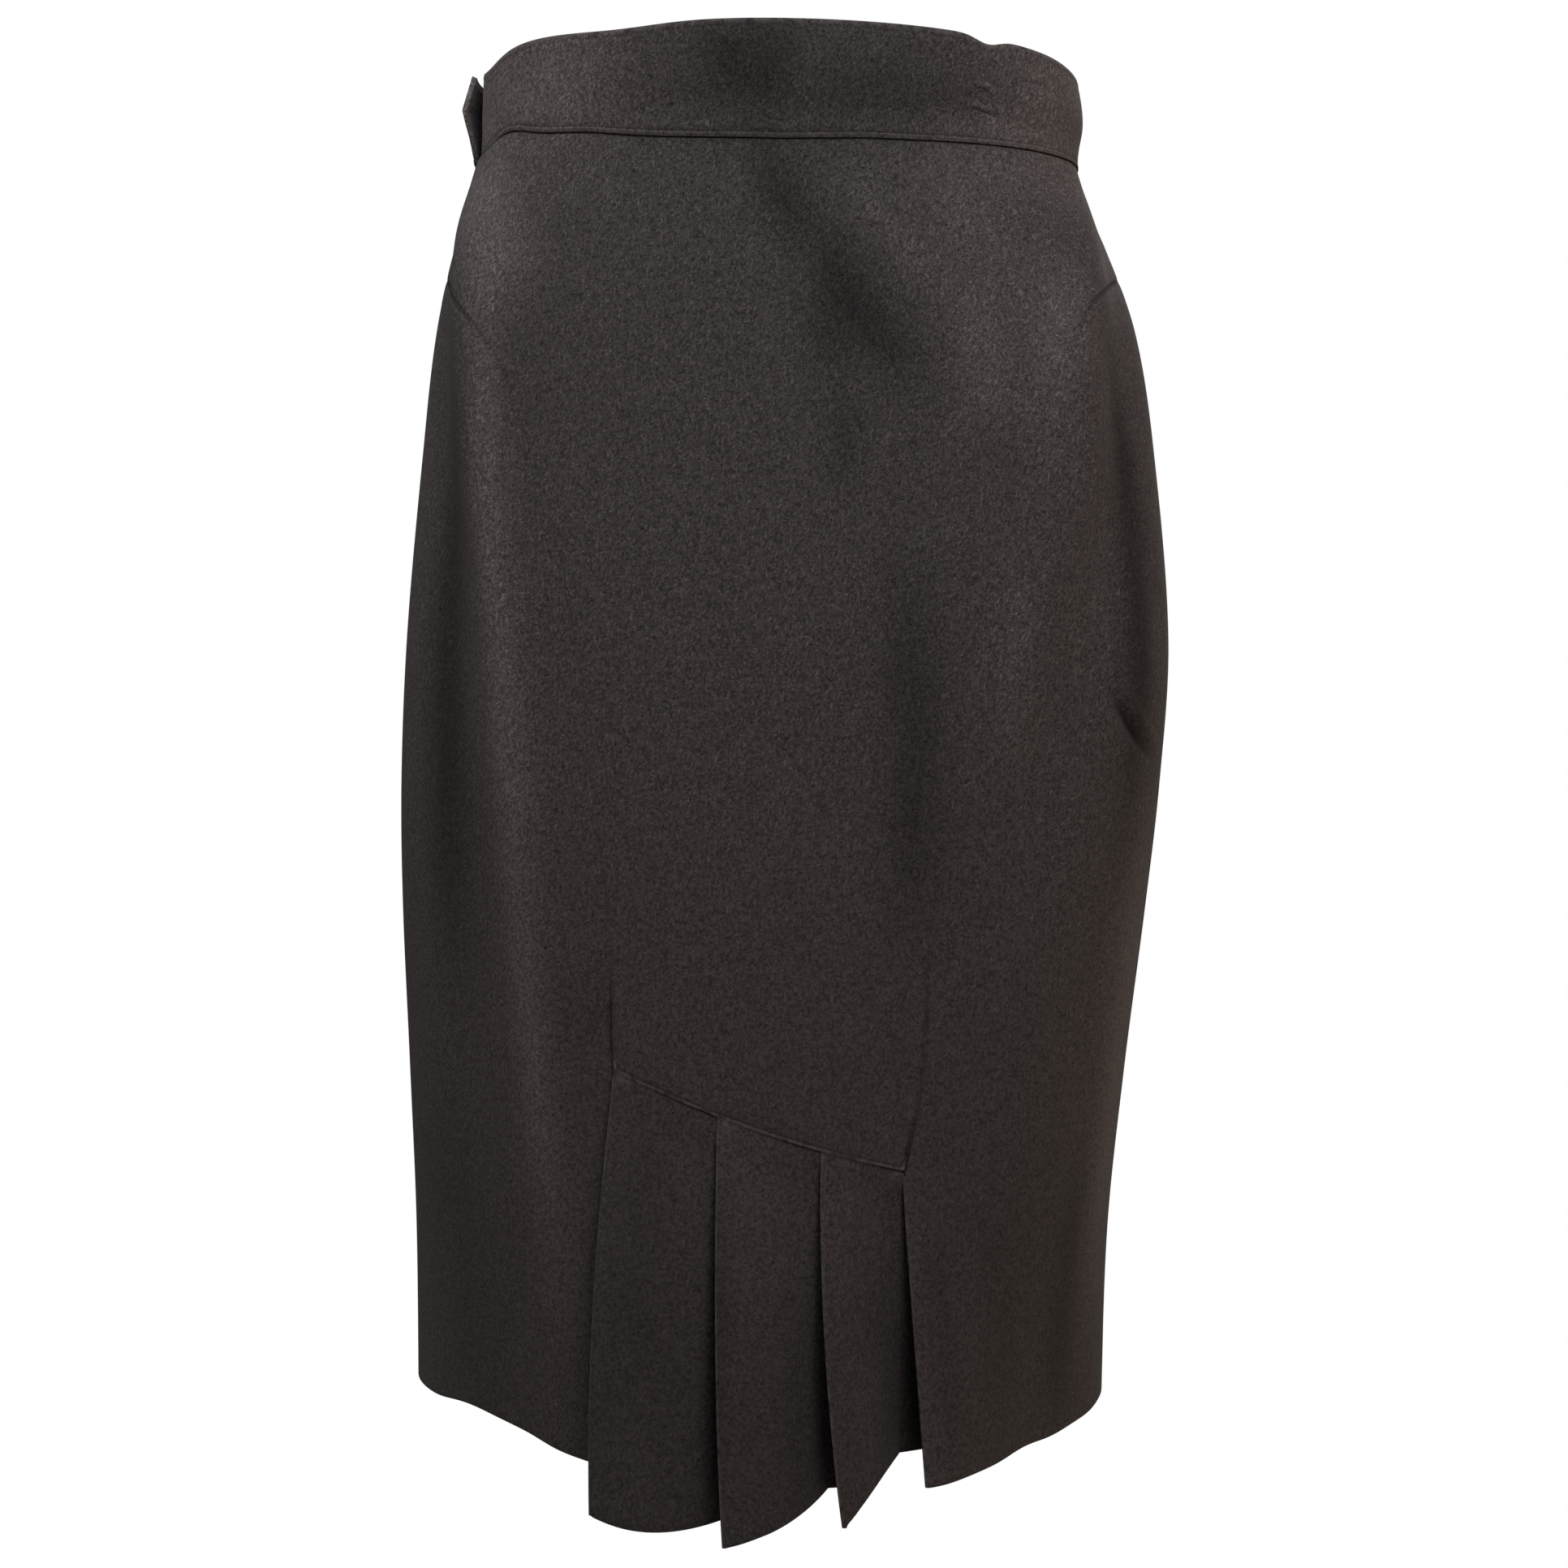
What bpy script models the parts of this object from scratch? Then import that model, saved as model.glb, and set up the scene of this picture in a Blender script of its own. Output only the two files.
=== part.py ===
"""A worn pencil skirt with a waistband, shaped panels, a slanted inset of knife pleats and a side zip.

Frame: metres, +Z up. The origin is the middle of the waist at the height of the side waist seams.
-Y is the side with the pleats, and +X is to the right when that side is faced.
A place on the cloth is (angle, z): the angle in degrees is 0 at the middle of the pleated side,
90 at the right side seam, 180 at the middle of the back and -90 near the left side seam.
"""

import math
from collections import namedtuple

import bmesh
import bpy
from mathutils import Matrix, Vector

MM = 0.001

# Lengths of the garment
BAND_TOP = 0.044
SEAM_DIP = 0.007  # the waist seam lies this much lower at the middle of the pleated side

# Thicknesses and gaps
CLOTH = 1.2 * MM
BAND_CLOTH = 2.4 * MM
SEAM_GAP = 0.34 * MM
LAYER = 1.55 * MM  # one layer of pleat to the next, cloth and gap
HALF_GAP = SEAM_GAP / 2
BAND_OUT = 0.6 * MM  # the doubled waistband stands this far outside the panels
MEAN_RADIUS = 0.16  # turns a short way along the cloth into an angle

# Seam places
LEFT_SEAM = -96.0
RIGHT_SEAM = 90.0
BACK_SEAM = 180.0
INSET_LEFT = (-27.7, -0.424)
INSET_RIGHT = (24.3, -0.467)
INSET_BOW = 0.003

# Outline of the worn cloth at some heights: half widths to the left and right,
# depths to the pleated side (front) and to the back, and how square the front is
Section = namedtuple("Section", "z left right front back squareness")
SECTIONS = (
    Section(0.044, 0.1447, 0.1447, 0.1072, 0.105, 2.00),
    Section(0.022, 0.1453, 0.1476, 0.1060, 0.106, 2.02),
    Section(0.000, 0.1463, 0.1462, 0.1040, 0.107, 2.05),
    Section(-0.040, 0.1590, 0.1632, 0.1090, 0.115, 2.10),
    Section(-0.080, 0.1664, 0.1768, 0.1140, 0.125, 2.15),
    Section(-0.140, 0.1718, 0.1864, 0.1200, 0.136, 2.20),
    Section(-0.230, 0.1790, 0.1944, 0.1280, 0.140, 2.25),
    Section(-0.300, 0.1817, 0.1911, 0.1330, 0.138, 2.20),
    Section(-0.360, 0.1812, 0.1854, 0.1370, 0.136, 2.10),
    Section(-0.440, 0.1778, 0.1766, 0.1420, 0.134, 2.00),
    Section(-0.520, 0.1746, 0.1698, 0.1470, 0.132, 1.90),
    Section(-0.620, 0.1735, 0.1682, 0.1520, 0.130, 1.80),
)
BACK_SQUARENESS = 2.1
WAIST_DIP_POWER = 1.5

# Hem of the side panels and the back, from the left side round the pleated side to the right side
HemPoint = namedtuple("HemPoint", "angle z")
HEM_LINE = (
    HemPoint(-180.0, -0.600),
    HemPoint(-96.0, -0.598),
    HemPoint(-78.0, -0.5955),
    HemPoint(-56.0, -0.590),
    HemPoint(-40.0, -0.595),
    HemPoint(-24.0, -0.600),
    HemPoint(27.0, -0.602),
    HemPoint(43.0, -0.602),
    HemPoint(55.0, -0.602),
    HemPoint(96.0, -0.602),
    HemPoint(180.0, -0.600),
)

# Curved seam between the centre panel and a side panel, mirrored left and right
SeamPoint = namedtuple("SeamPoint", "z angle")
CURVED_SEAM = (
    SeamPoint(-0.052, 92.0),
    SeamPoint(-0.060, 79.0),
    SeamPoint(-0.072, 67.0),
    SeamPoint(-0.100, 58.0),
    SeamPoint(-0.145, 49.0),
    SeamPoint(-0.192, 41.5),
    SeamPoint(-0.245, 36.3),
    SeamPoint(-0.300, 32.6),
    SeamPoint(-0.360, 29.2),
    SeamPoint(-0.424, 27.7),
    SeamPoint(-0.467, 24.3),
)
HIP_END = 60.0  # the seam crosses the hip down to this angle
SEAM_SETTLE = 0.06  # below its start by this much, the seam has the angles above on both sides

# Long soft folds where the pleated side turns to the sides
Fold = namedtuple("Fold", "z angle height")
LEFT_FOLD = (
    Fold(-0.010, -78.0, 0.0),
    Fold(-0.050, -71.0, 2.5 * MM),
    Fold(-0.105, -63.8, 4.0 * MM),
    Fold(-0.163, -57.6, 4.2 * MM),
    Fold(-0.220, -51.8, 3.8 * MM),
    Fold(-0.285, -48.0, 3.0 * MM),
    Fold(-0.340, -42.9, 2.0 * MM),
    Fold(-0.420, -37.5, 0.0),
)
RIGHT_FOLD = (
    Fold(0.000, 78.0, 0.5 * MM),
    Fold(-0.044, 68.8, 2.5 * MM),
    Fold(-0.100, 61.5, 3.6 * MM),
    Fold(-0.145, 58.6, 3.0 * MM),
    Fold(-0.195, 51.0, 2.4 * MM),
    Fold(-0.257, 43.2, 2.2 * MM),
    Fold(-0.311, 37.6, 1.6 * MM),
    Fold(-0.400, 28.0, 0.0),
)
FOLD_WIDTH = 5.5  # degrees, half width of a fold's crest
HOLLOW_SHIFT = 12.0  # degrees from a crest to the hollow outside it
HOLLOW_WIDTH = 7.0
HOLLOW_DEPTH = 0.8  # share of the crest's height

# Knife pleats from the left. A pleat is folded at its left and sinks under the next fold at its right.
# stand is how far the fold stands out at the hem, and end_ is the same for the hidden inner end.
# swell is how far the face bulges between them, and bend how late it sinks.
Pleat = namedtuple("Pleat", "seam_angle hem_angle stand hem_z end_stand end_z swell bend")
PLEATS = (
    Pleat(-27.7, -24.7, 0.031, -0.612, 0.016, -0.610, 0.006, 3.0),
    Pleat(-9.3, -5.1, 0.043, -0.615, 0.001, -0.603, 0.004, 1.6),
    Pleat(9.6, 10.0, 0.034, -0.611, -0.005, -0.594, 0.000, 1.1),
)
UNDERLAP = 8.0  # degrees that each face runs on under the next fold
TIP_ANGLE = math.degrees(0.5 * LAYER / 0.145)  # half a layer, as an angle
# Rounded folds, a row for each column of the wall: angle in tips from the fold's line, layer
FOLD_TURN = ((1.0, 0.0), (0.3, -0.15), (0.0, -0.5), (0.3, -0.85), (1.0, -1.0))
INNER_TURN = ((0.7, -1.85), (1.0, -1.5), (0.7, -1.15))
FACE_STEPS = (0.12, 0.3, 0.5, 0.7, 0.86, 0.96)  # columns of a face, as shares of its width
# Folded edge of the right side panel, which covers the last pleat
LastFold = namedtuple("LastFold", "seam_angle hem_angle stand reach")
LAST_FOLD = LastFold(24.3, 24.6, 0.021, 30.0)
# Flat edge of the left side panel, which the first pleat covers
LEFT_EDGE_STAND = 0.010
LEFT_EDGE_REACH = 20.0
UNDER_STEPS = (0.34, 0.67, 1.0)  # columns of the part that runs on under the pleat
DIP_HEIGHTS = (-0.370, -0.420)  # the left side panel sinks under the first pleat between these heights
DIP_REACH = (1.0, 14.0)  # and between these angles from its edge
END_CLEAR = 0.003  # a hidden inner end stands this far off the piece below it at the hem
PLEAT_SPREAD = 1.25  # power of the fall at which the folds open

# Zip
ZIP_LENGTH = 0.19
ZIP_TAPE_ANGLE = 3.8
ZIP_COIL_ANGLE = 0.75
TAPE_CLOTH = 0.7 * MM
TAPE_GAP = 0.8 * MM
COIL_CLOTH = 1.6 * MM
COIL_STOP = 8 * MM  # the teeth end this far above the end of the tape
PULL_LENGTH = 15 * MM
PULL_WIDTH = 5 * MM
SLIDER_DROP = 0.016
PIN_RADIUS = 0.45 * MM
EYE_CLEARANCE = 0.3 * MM
EYE_WALL = 0.5 * MM

# Materials: name, colour, roughness, metallic
WOOL = ("flannel", (0.035, 0.030, 0.029), 0.95, 0.0)
TAPE = ("zip_tape", (0.016, 0.015, 0.015), 0.8, 0.0)
METAL = ("zip_metal", (0.06, 0.06, 0.06), 0.35, 1.0)


def smooth_step(low, high, value):
    share = min(1.0, max(0.0, (value - low) / (high - low)))
    return share * share * (3.0 - 2.0 * share)


def mix(a, b, share):
    return a + (b - a) * share


def read(table, name, at):
    """A table's named column where its first column is at, on a smooth curve through the rows."""
    keys = [row[0] for row in table]
    values = [getattr(row, name) for row in table]
    if keys[0] > keys[-1]:
        keys.reverse()
        values.reverse()
    if at <= keys[0]:
        return values[0]
    if at >= keys[-1]:
        return values[-1]
    i = next(k for k in range(len(keys) - 1) if at <= keys[k + 1])

    def slope(k):
        a, b = max(k - 1, 0), min(k + 1, len(keys) - 1)
        return (values[b] - values[a]) / (keys[b] - keys[a])

    span = keys[i + 1] - keys[i]
    t = (at - keys[i]) / span
    return (
        (2 * t**3 - 3 * t**2 + 1) * values[i]
        + (t**3 - 2 * t**2 + t) * span * slope(i)
        + (3 * t**2 - 2 * t**3) * values[i + 1]
        + (t**3 - t**2) * span * slope(i + 1)
    )


def turned(angle):
    """The same direction as an angle from -180 to 180."""
    return (angle + 180.0) % 360.0 - 180.0


def soft_folds(angle, z):
    """How far the long soft folds lift the cloth here, with the hollow on their outer side."""
    lift = 0.0
    for fold, side in ((LEFT_FOLD, -1.0), (RIGHT_FOLD, 1.0)):
        if not fold[-1].z < z <= fold[0].z:
            continue
        height = max(0.0, read(fold, "height", z))
        off = (turned(angle) - read(fold, "angle", z)) * side
        lift += height * math.exp(-((off / FOLD_WIDTH) ** 2))
        hollow = (off - HOLLOW_SHIFT) / HOLLOW_WIDTH
        lift -= HOLLOW_DEPTH * height * math.exp(-(hollow**2))
    return lift


def ring_point(angle, z):
    """A point of the plain rounded outline, with no folds."""
    across, along = math.sin(math.radians(angle)), math.cos(math.radians(angle))
    width = read(SECTIONS, "left" if across < 0 else "right", z)
    depth = read(SECTIONS, "front" if along > 0 else "back", z)
    power = read(SECTIONS, "squareness", z) if along > 0 else BACK_SQUARENESS
    size = (abs(across) / width) ** power + (abs(along) / depth) ** power
    radius = size ** (-1.0 / power)
    return Vector((radius * across, -radius * along, z))


def outward(angle, z):
    """The level direction that points out of the cloth."""
    step = 0.5
    along = ring_point(angle + step, z) - ring_point(angle - step, z)
    return Vector((along.y, -along.x, 0.0)).normalized()


def on_cloth(angle, z, out=0.0):
    """A point on the middle of the cloth's thickness, moved out."""
    return ring_point(angle, z) + outward(angle, z) * (soft_folds(angle, z) + out)


def waist_seam(angle):
    """z of the waist seam, which dips at the middle of the pleated side."""
    return -SEAM_DIP * max(0.0, math.cos(math.radians(angle))) ** WAIST_DIP_POWER


def inset_seam(angle):
    """z of the slanted seam above the pleats."""
    share = (angle - INSET_LEFT[0]) / (INSET_RIGHT[0] - INSET_LEFT[0])
    bow = INSET_BOW * 4.0 * share * (1.0 - share) if 0.0 < share < 1.0 else 0.0
    return mix(INSET_LEFT[1], INSET_RIGHT[1], share) - bow


def seam_points(side, last_z, across, down):
    """The curved seam from the side seam to the inset's corner, as (angle, z).

    It has some steps across the hip, up to HIP_END, and then some down to the corner."""
    fine = 400
    top = CURVED_SEAM[0].z
    start = -LEFT_SEAM if side < 0 else RIGHT_SEAM
    path = []
    for i in range(fine + 1):
        z = mix(top, last_z, (i / fine) ** 1.5)
        angle = read(CURVED_SEAM, "angle", z)
        angle += (start - CURVED_SEAM[0].angle) * (1.0 - smooth_step(0.0, SEAM_SETTLE, top - z))
        path.append((side * angle, z))
    walked = [0.0]
    for a, b in zip(path, path[1:]):
        walked.append(walked[-1] + (on_cloth(*a) - on_cloth(*b)).length)
    turn = next(i for i, p in enumerate(path) if abs(p[0]) < HIP_END)

    def at(distance):
        i = next(k for k in range(1, len(path)) if walked[k] >= distance - 1e-9)
        share = (distance - walked[i - 1]) / (walked[i] - walked[i - 1])
        return tuple(mix(p, q, share) for p, q in zip(path[i - 1], path[i]))

    first = [at(walked[turn] * (i / across) ** HIP_SPREAD) for i in range(across)]
    rest = [at(mix(walked[turn], walked[-1], i / down)) for i in range(down + 1)]
    return first + rest


def moved_aside(points, gap):
    """The points of a seam moved to its right-hand side, seen from outside and walking along it."""
    degrees_per_metre = math.degrees(1.0 / MEAN_RADIUS)
    result = []
    for i, (angle, z) in enumerate(points):
        before, after = points[max(i - 1, 0)], points[min(i + 1, len(points) - 1)]
        run = (after[0] - before[0]) / degrees_per_metre
        rise = after[1] - before[1]
        length = math.hypot(run, rise)
        result.append((angle + gap * rise / length * degrees_per_metre, z - gap * run / length))
    return result


def patch(left, right, top, bottom):
    """A grid of (angle, z) between four edges, rows from the top and columns from the left."""
    rows, columns = len(left), len(top)
    across = [(point[0] - top[0][0]) / (top[-1][0] - top[0][0]) for point in top]
    grid = []
    for i in range(rows):
        v = i / (rows - 1)
        row = []
        for j in range(columns):
            u = across[j]
            row.append(
                tuple(
                    mix(left[i][k], right[i][k], u)
                    + mix(top[j][k], bottom[j][k], v)
                    - mix(mix(top[0][k], top[-1][k], u), mix(bottom[0][k], bottom[-1][k], u), v)
                    for k in (0, 1)
                )
            )
        grid.append(row)
    return grid


def across_from(start, end, count):
    """Angles from start to end, the first step as wide as a zip's tape and the others even."""
    first = start + math.copysign(FIRST_STEP, end - start)
    return [start] + [mix(first, end, i / (count - 1)) for i in range(count)]


def even(start, end, count):
    """count + 1 points in a straight line on the flat (angle, z) chart."""
    return [tuple(mix(a, b, i / count) for a, b in zip(start, end)) for i in range(count + 1)]


def finish(kind):
    """The material of one kind of piece."""
    label, colour, roughness, metallic = kind
    material = bpy.data.materials.get(label) or bpy.data.materials.new(label)
    material.use_nodes = True
    shader = material.node_tree.nodes["Principled BSDF"]
    shader.inputs["Base Color"].default_value = (*colour, 1.0)
    shader.inputs["Roughness"].default_value = roughness
    shader.inputs["Metallic"].default_value = metallic
    return material


def add_object(name, mesh, kind):
    mesh.materials.append(finish(kind))
    thing = bpy.data.objects.new(name, mesh)
    bpy.context.scene.collection.objects.link(thing)
    return thing


def cloth_wall(name, grid, thickness, kind=WOOL):
    """A wall of cloth whose middle runs through a grid of points. None marks a place with no cloth."""
    mesh = bpy.data.meshes.new(name)
    shape = bmesh.new()
    corners = [[shape.verts.new(p) if p is not None else None for p in row] for row in grid]
    for upper, lower in zip(corners, corners[1:]):
        for j in range(len(upper) - 1):
            face = (upper[j], lower[j], lower[j + 1], upper[j + 1])
            if None not in face:
                shape.faces.new(face)
    shape.to_mesh(mesh)
    shape.free()
    mesh.shade_smooth()
    thing = add_object(name, mesh, kind)
    wall = thing.modifiers.new("wall", "SOLIDIFY")
    wall.thickness = thickness
    wall.offset = 0.0
    wall.use_even_offset = False
    return thing


HIP_STEPS = 7
HIP_SPREAD = 1.35  # the seam's first steps over the hip are short, so that the side seam stays round
SEAM_STEPS = 15
PLEAT_STEPS = (0.05, 0.16, 0.29, 0.43, 0.57, 0.71, 0.85, 1.0)  # share of the fall from seam to hem
FIRST_STEP = 5.0  # degrees from a side seam to the next column of a panel
BACK_SPREAD = 1.3  # the back's rows are closer together at the top, where the cloth curves most


def centre_panel():
    """The shaped panel from the waistband to the pleats, as wide as the garment above the hips."""
    waist_rows = 4
    columns = 25
    left_seam = seam_points(-1, INSET_LEFT[1], HIP_STEPS, SEAM_STEPS)
    right_seam = seam_points(1, INSET_RIGHT[1], HIP_STEPS, SEAM_STEPS)
    left_top = (LEFT_SEAM, waist_seam(LEFT_SEAM) - HALF_GAP)
    right_top = (RIGHT_SEAM, waist_seam(RIGHT_SEAM) - HALF_GAP)
    left = moved_aside(even(left_top, left_seam[0], waist_rows)[:-1] + left_seam, -HALF_GAP)
    right = moved_aside(even(right_top, right_seam[0], waist_rows)[:-1] + right_seam, HALF_GAP)
    top = [(angle, waist_seam(angle) - HALF_GAP) for angle in across_from(left[0][0], right[0][0], columns)]
    top[0], top[-1] = left[0], right[0]
    bottom = []
    for angle, _ in top:
        share = (angle - top[0][0]) / (top[-1][0] - top[0][0])
        low_angle = mix(left[-1][0], right[-1][0], share)
        bottom.append((low_angle, inset_seam(low_angle) + HALF_GAP))
    bottom[0], bottom[-1] = left[-1], right[-1]
    grid = patch(left, right, top, bottom)
    return cloth_wall("centre_panel", [[on_cloth(*p) for p in row] for row in grid], CLOTH)


def side_panel(side):
    """A side panel, from the curved seam to the hem. The left one ends in a flat edge under the first pleat,
    and the right one in a fold that turns back under itself."""
    last = INSET_LEFT if side < 0 else INSET_RIGHT
    fold = PLEATS[0] if side < 0 else LAST_FOLD
    side_angle = (LEFT_SEAM if side < 0 else RIGHT_SEAM) - side * math.degrees(HALF_GAP / MEAN_RADIUS)
    seam = seam_points(side, last[1], HIP_STEPS, SEAM_STEPS)
    edge_end = (fold.hem_angle, read(HEM_LINE, "z", fold.hem_angle))
    below = [tuple(mix(a, b, share) for a, b in zip(seam[-1], edge_end)) for share in PLEAT_STEPS]
    inner = moved_aside(seam, HALF_GAP * -side)
    top = inner[: HIP_STEPS + 1]
    top[0] = (side_angle, top[0][1])
    inner = inner[HIP_STEPS:] + below
    outer = even(top[0], (side_angle, read(HEM_LINE, "z", side_angle)), len(inner) - 1)
    across = [(angle - top[0][0]) / (top[-1][0] - top[0][0]) for angle, _ in top]
    low_angles = [mix(outer[-1][0], inner[-1][0], share) for share in across]
    bottom = [(angle, read(HEM_LINE, "z", angle)) for angle in low_angles]
    grid = []
    for i, row in enumerate(patch(outer, inner, top, bottom)):
        share = 0.0 if i <= SEAM_STEPS else PLEAT_STEPS[i - SEAM_STEPS - 1]
        edge = left_edge(row, share) if side < 0 else folded_edge(row, share)
        grid.append(edge[::-side])
    return cloth_wall("side_panel_left" if side < 0 else "side_panel_right", grid, CLOTH)


def left_edge(row, share):
    """A row of the left side panel, which dips under the first pleat and runs on below it."""
    opened = share**PLEAT_SPREAD
    edge_angle, edge_z = row[-1]
    points = []
    for angle, z in row:
        away = edge_angle - angle
        sunk = smooth_step(*DIP_HEIGHTS, z) * (1.0 - smooth_step(*DIP_REACH, away))
        stand = LEFT_EDGE_STAND * opened * (1.0 - smooth_step(0.0, LEFT_EDGE_REACH, away))
        points.append(on_cloth(angle, z, stand - 2.0 * LAYER * sunk))
    for step in UNDER_STEPS:
        stand = LEFT_EDGE_STAND * opened * (1.0 - step)
        place = on_cloth(edge_angle + step * UNDERLAP, edge_z, stand - 2.0 * LAYER)
        points.append(place if share > 0.0 else None)
    return points


def folded_edge(row, share):
    """A row of the right side panel, which turns back under itself beside the last pleat."""
    opened = share**PLEAT_SPREAD
    edge_angle, edge_z = row[-1]
    points = []
    for angle, z in row:
        stand = LAST_FOLD.stand * opened * (1.0 - smooth_step(0.0, LAST_FOLD.reach, angle - edge_angle))
        points.append(on_cloth(angle, z, stand))
    turned_under = []
    for off, layer in FOLD_TURN:
        out = LAST_FOLD.stand * opened + layer * LAYER
        turned_under.append(on_cloth(edge_angle + off * TIP_ANGLE, edge_z, out))
    for step in (0.5, 1.0):
        stand = mix(LAST_FOLD.stand, PLEATS[-1].end_stand + END_CLEAR, step) * opened
        place = mix(edge_angle + TIP_ANGLE, edge_angle + UNDERLAP, step)
        turned_under.append(on_cloth(place, edge_z, stand - LAYER))
    if share > 0.0:
        points[-1:] = turned_under
    else:
        points += [None] * (len(turned_under) - 1)
    return points


def inset_columns():
    """The zigzag of the pleated inset from left to right, a column for each place along it:
    angle at the seam, angle at the hem, layer (0 outside, -2 innermost), stand at the hem, z at the hem."""
    columns = []
    last_end = (END_CLEAR, read(HEM_LINE, "z", PLEATS[0].hem_angle))
    inner = UNDERLAP - TIP_ANGLE
    for pleat, following in zip(PLEATS, [*PLEATS[1:], LAST_FOLD]):

        def hidden_return(step):
            shift = mix(TIP_ANGLE, inner, step)
            stand = mix(pleat.stand, last_end[0], step)
            low = mix(pleat.hem_z, last_end[1], step)
            return (pleat.seam_angle + shift, pleat.hem_angle + shift, -1.0, stand, low)

        def crease(off, layer):
            shift = off * TIP_ANGLE
            return (pleat.seam_angle + shift, pleat.hem_angle + shift, layer, pleat.stand, pleat.hem_z)

        def face(step):
            sunk = min(step, 1.0) ** pleat.bend
            stand = mix(pleat.stand, pleat.end_stand, sunk) + pleat.swell * math.sin(math.pi * min(step, 1.0))
            seam_angle = mix(pleat.seam_angle, following.seam_angle, min(step, 1.0))
            hem_angle = mix(pleat.hem_angle, following.hem_angle, min(step, 1.0))
            beyond = max(0.0, step - 1.0) * inner
            layer = -2.0 * smooth_step(0.1, 0.96, step)
            low = mix(pleat.hem_z, pleat.end_z, sunk)
            return (seam_angle + beyond, hem_angle + beyond, layer, stand, low)

        columns += [hidden_return(step) for step in (1.0, 0.5)]
        columns += [crease(off, layer) for off, layer in reversed(FOLD_TURN)]
        columns += [face(step) for step in (*FACE_STEPS, 1.3, 2.0)]
        last_end = (pleat.end_stand, pleat.end_z)
        if following is not LAST_FOLD:
            for off, layer in INNER_TURN:
                shift = inner + off * TIP_ANGLE
                columns.append((following.seam_angle + shift, following.hem_angle + shift, layer, *last_end))
    return columns


def pleat_inset():
    """The strip of three knife pleats, one wall folded to and fro, hung from the slanted seam."""
    rows = []
    for share in (0.0, *PLEAT_STEPS):
        row = []
        for seam_angle, hem_angle, layer, stand, hem_z in inset_columns():
            top_z = inset_seam(seam_angle) - HALF_GAP
            place = (mix(seam_angle, hem_angle, share), mix(top_z, hem_z, share))
            row.append(on_cloth(*place, layer * LAYER + stand * share**PLEAT_SPREAD))
        rows.append(row)
    return cloth_wall("pleat_inset", rows, CLOTH)


def back_panel(side):
    """One of the two back panels, joined at the middle of the back."""
    columns, rows = 12, 20
    gap_angle = side * math.degrees(HALF_GAP / MEAN_RADIUS)
    start = (LEFT_SEAM if side < 0 else RIGHT_SEAM) + gap_angle
    end = BACK_SEAM * side - gap_angle
    angles = across_from(start, end, columns)
    grid = []
    for i in range(rows + 1):
        share = (i / rows) ** BACK_SPREAD
        heights = [mix(-HALF_GAP, read(HEM_LINE, "z", angle), share) for angle in angles]
        grid.append([on_cloth(angle, z) for angle, z in zip(angles, heights)][::side])
    return cloth_wall("back_panel_left" if side < 0 else "back_panel_right", grid, CLOTH)


# The waistband is one strip. It starts under its own end, runs round, and ends in a tab outside its start.
Sag = namedtuple("Sag", "angle width depth")
BAND_SAGS = (Sag(-40.0, 20.0, 2.4 * MM), Sag(57.0, 14.0, 2.0 * MM))
BAND_START = -107.0
BAND_END = 275.0
TAB_FLARE = 6.0 * MM
TAB_EDGE_FLARE = 0.15  # share of the flare that the tab's upper and lower edges also have
PRESSED_REACH = (-86.0, -62.0)  # the pressed-in start comes out to the outline between these angles
TAB_FREE = 18.0  # degrees of the tab that stand free


def band_top(angle):
    """z of the waistband's upper edge, with its shallow sags."""
    sags = [sag.depth * math.exp(-(((angle - sag.angle) / sag.width) ** 2)) for sag in BAND_SAGS]
    return BAND_TOP - sum(sags)


def waistband():
    """The strip round the waist, with its free tab over its start at the left side."""
    columns, rows = 84, 4
    grid = []
    for i in range(rows + 1):
        height = 1.0 - i / rows
        row = []
        for j in range(columns + 1):
            angle = mix(BAND_START, BAND_END, j / columns)
            pressed = 1.0 - smooth_step(*PRESSED_REACH, angle)
            free = smooth_step(BAND_END - TAB_FREE, BAND_END, angle)
            bulge = mix(math.sin(math.pi * mix(0.1, 0.9, height)), 1.0, TAB_EDGE_FLARE)
            out = BAND_OUT - pressed * (BAND_CLOTH + SEAM_GAP) + free * TAB_FLARE * bulge
            low = waist_seam(angle) + HALF_GAP
            row.append(on_cloth(angle, mix(low, band_top(angle), height), out))
        grid.append(row)
    return cloth_wall("waistband", grid, BAND_CLOTH)


def strip_inside(name, half_angle, columns, inset, thickness, top, bottom):
    """A narrow strip along the inside of the left side seam."""
    rows = 14
    grid = []
    for i in range(rows + 1):
        z = mix(top, bottom, i / rows)
        angles = [mix(-half_angle, half_angle, j / columns) for j in range(columns + 1)]
        grid.append([on_cloth(LEFT_SEAM + angle, z, -inset) for angle in angles])
    return cloth_wall(name, grid, thickness, TAPE)


def side_zip():
    """The closed zip inside the left side seam: its tape and, on that, its teeth."""
    tape_in = CLOTH / 2 + TAPE_GAP + TAPE_CLOTH / 2
    coil_in = tape_in + TAPE_CLOTH / 2 + SEAM_GAP + COIL_CLOTH / 2
    top = -3 * MM
    strip_inside("zip_tape", ZIP_TAPE_ANGLE, 4, tape_in, TAPE_CLOTH, top, -ZIP_LENGTH)
    coil_end = COIL_STOP - ZIP_LENGTH
    strip_inside("zip_coil", ZIP_COIL_ANGLE, 1, coil_in, COIL_CLOTH, top, coil_end)


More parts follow.
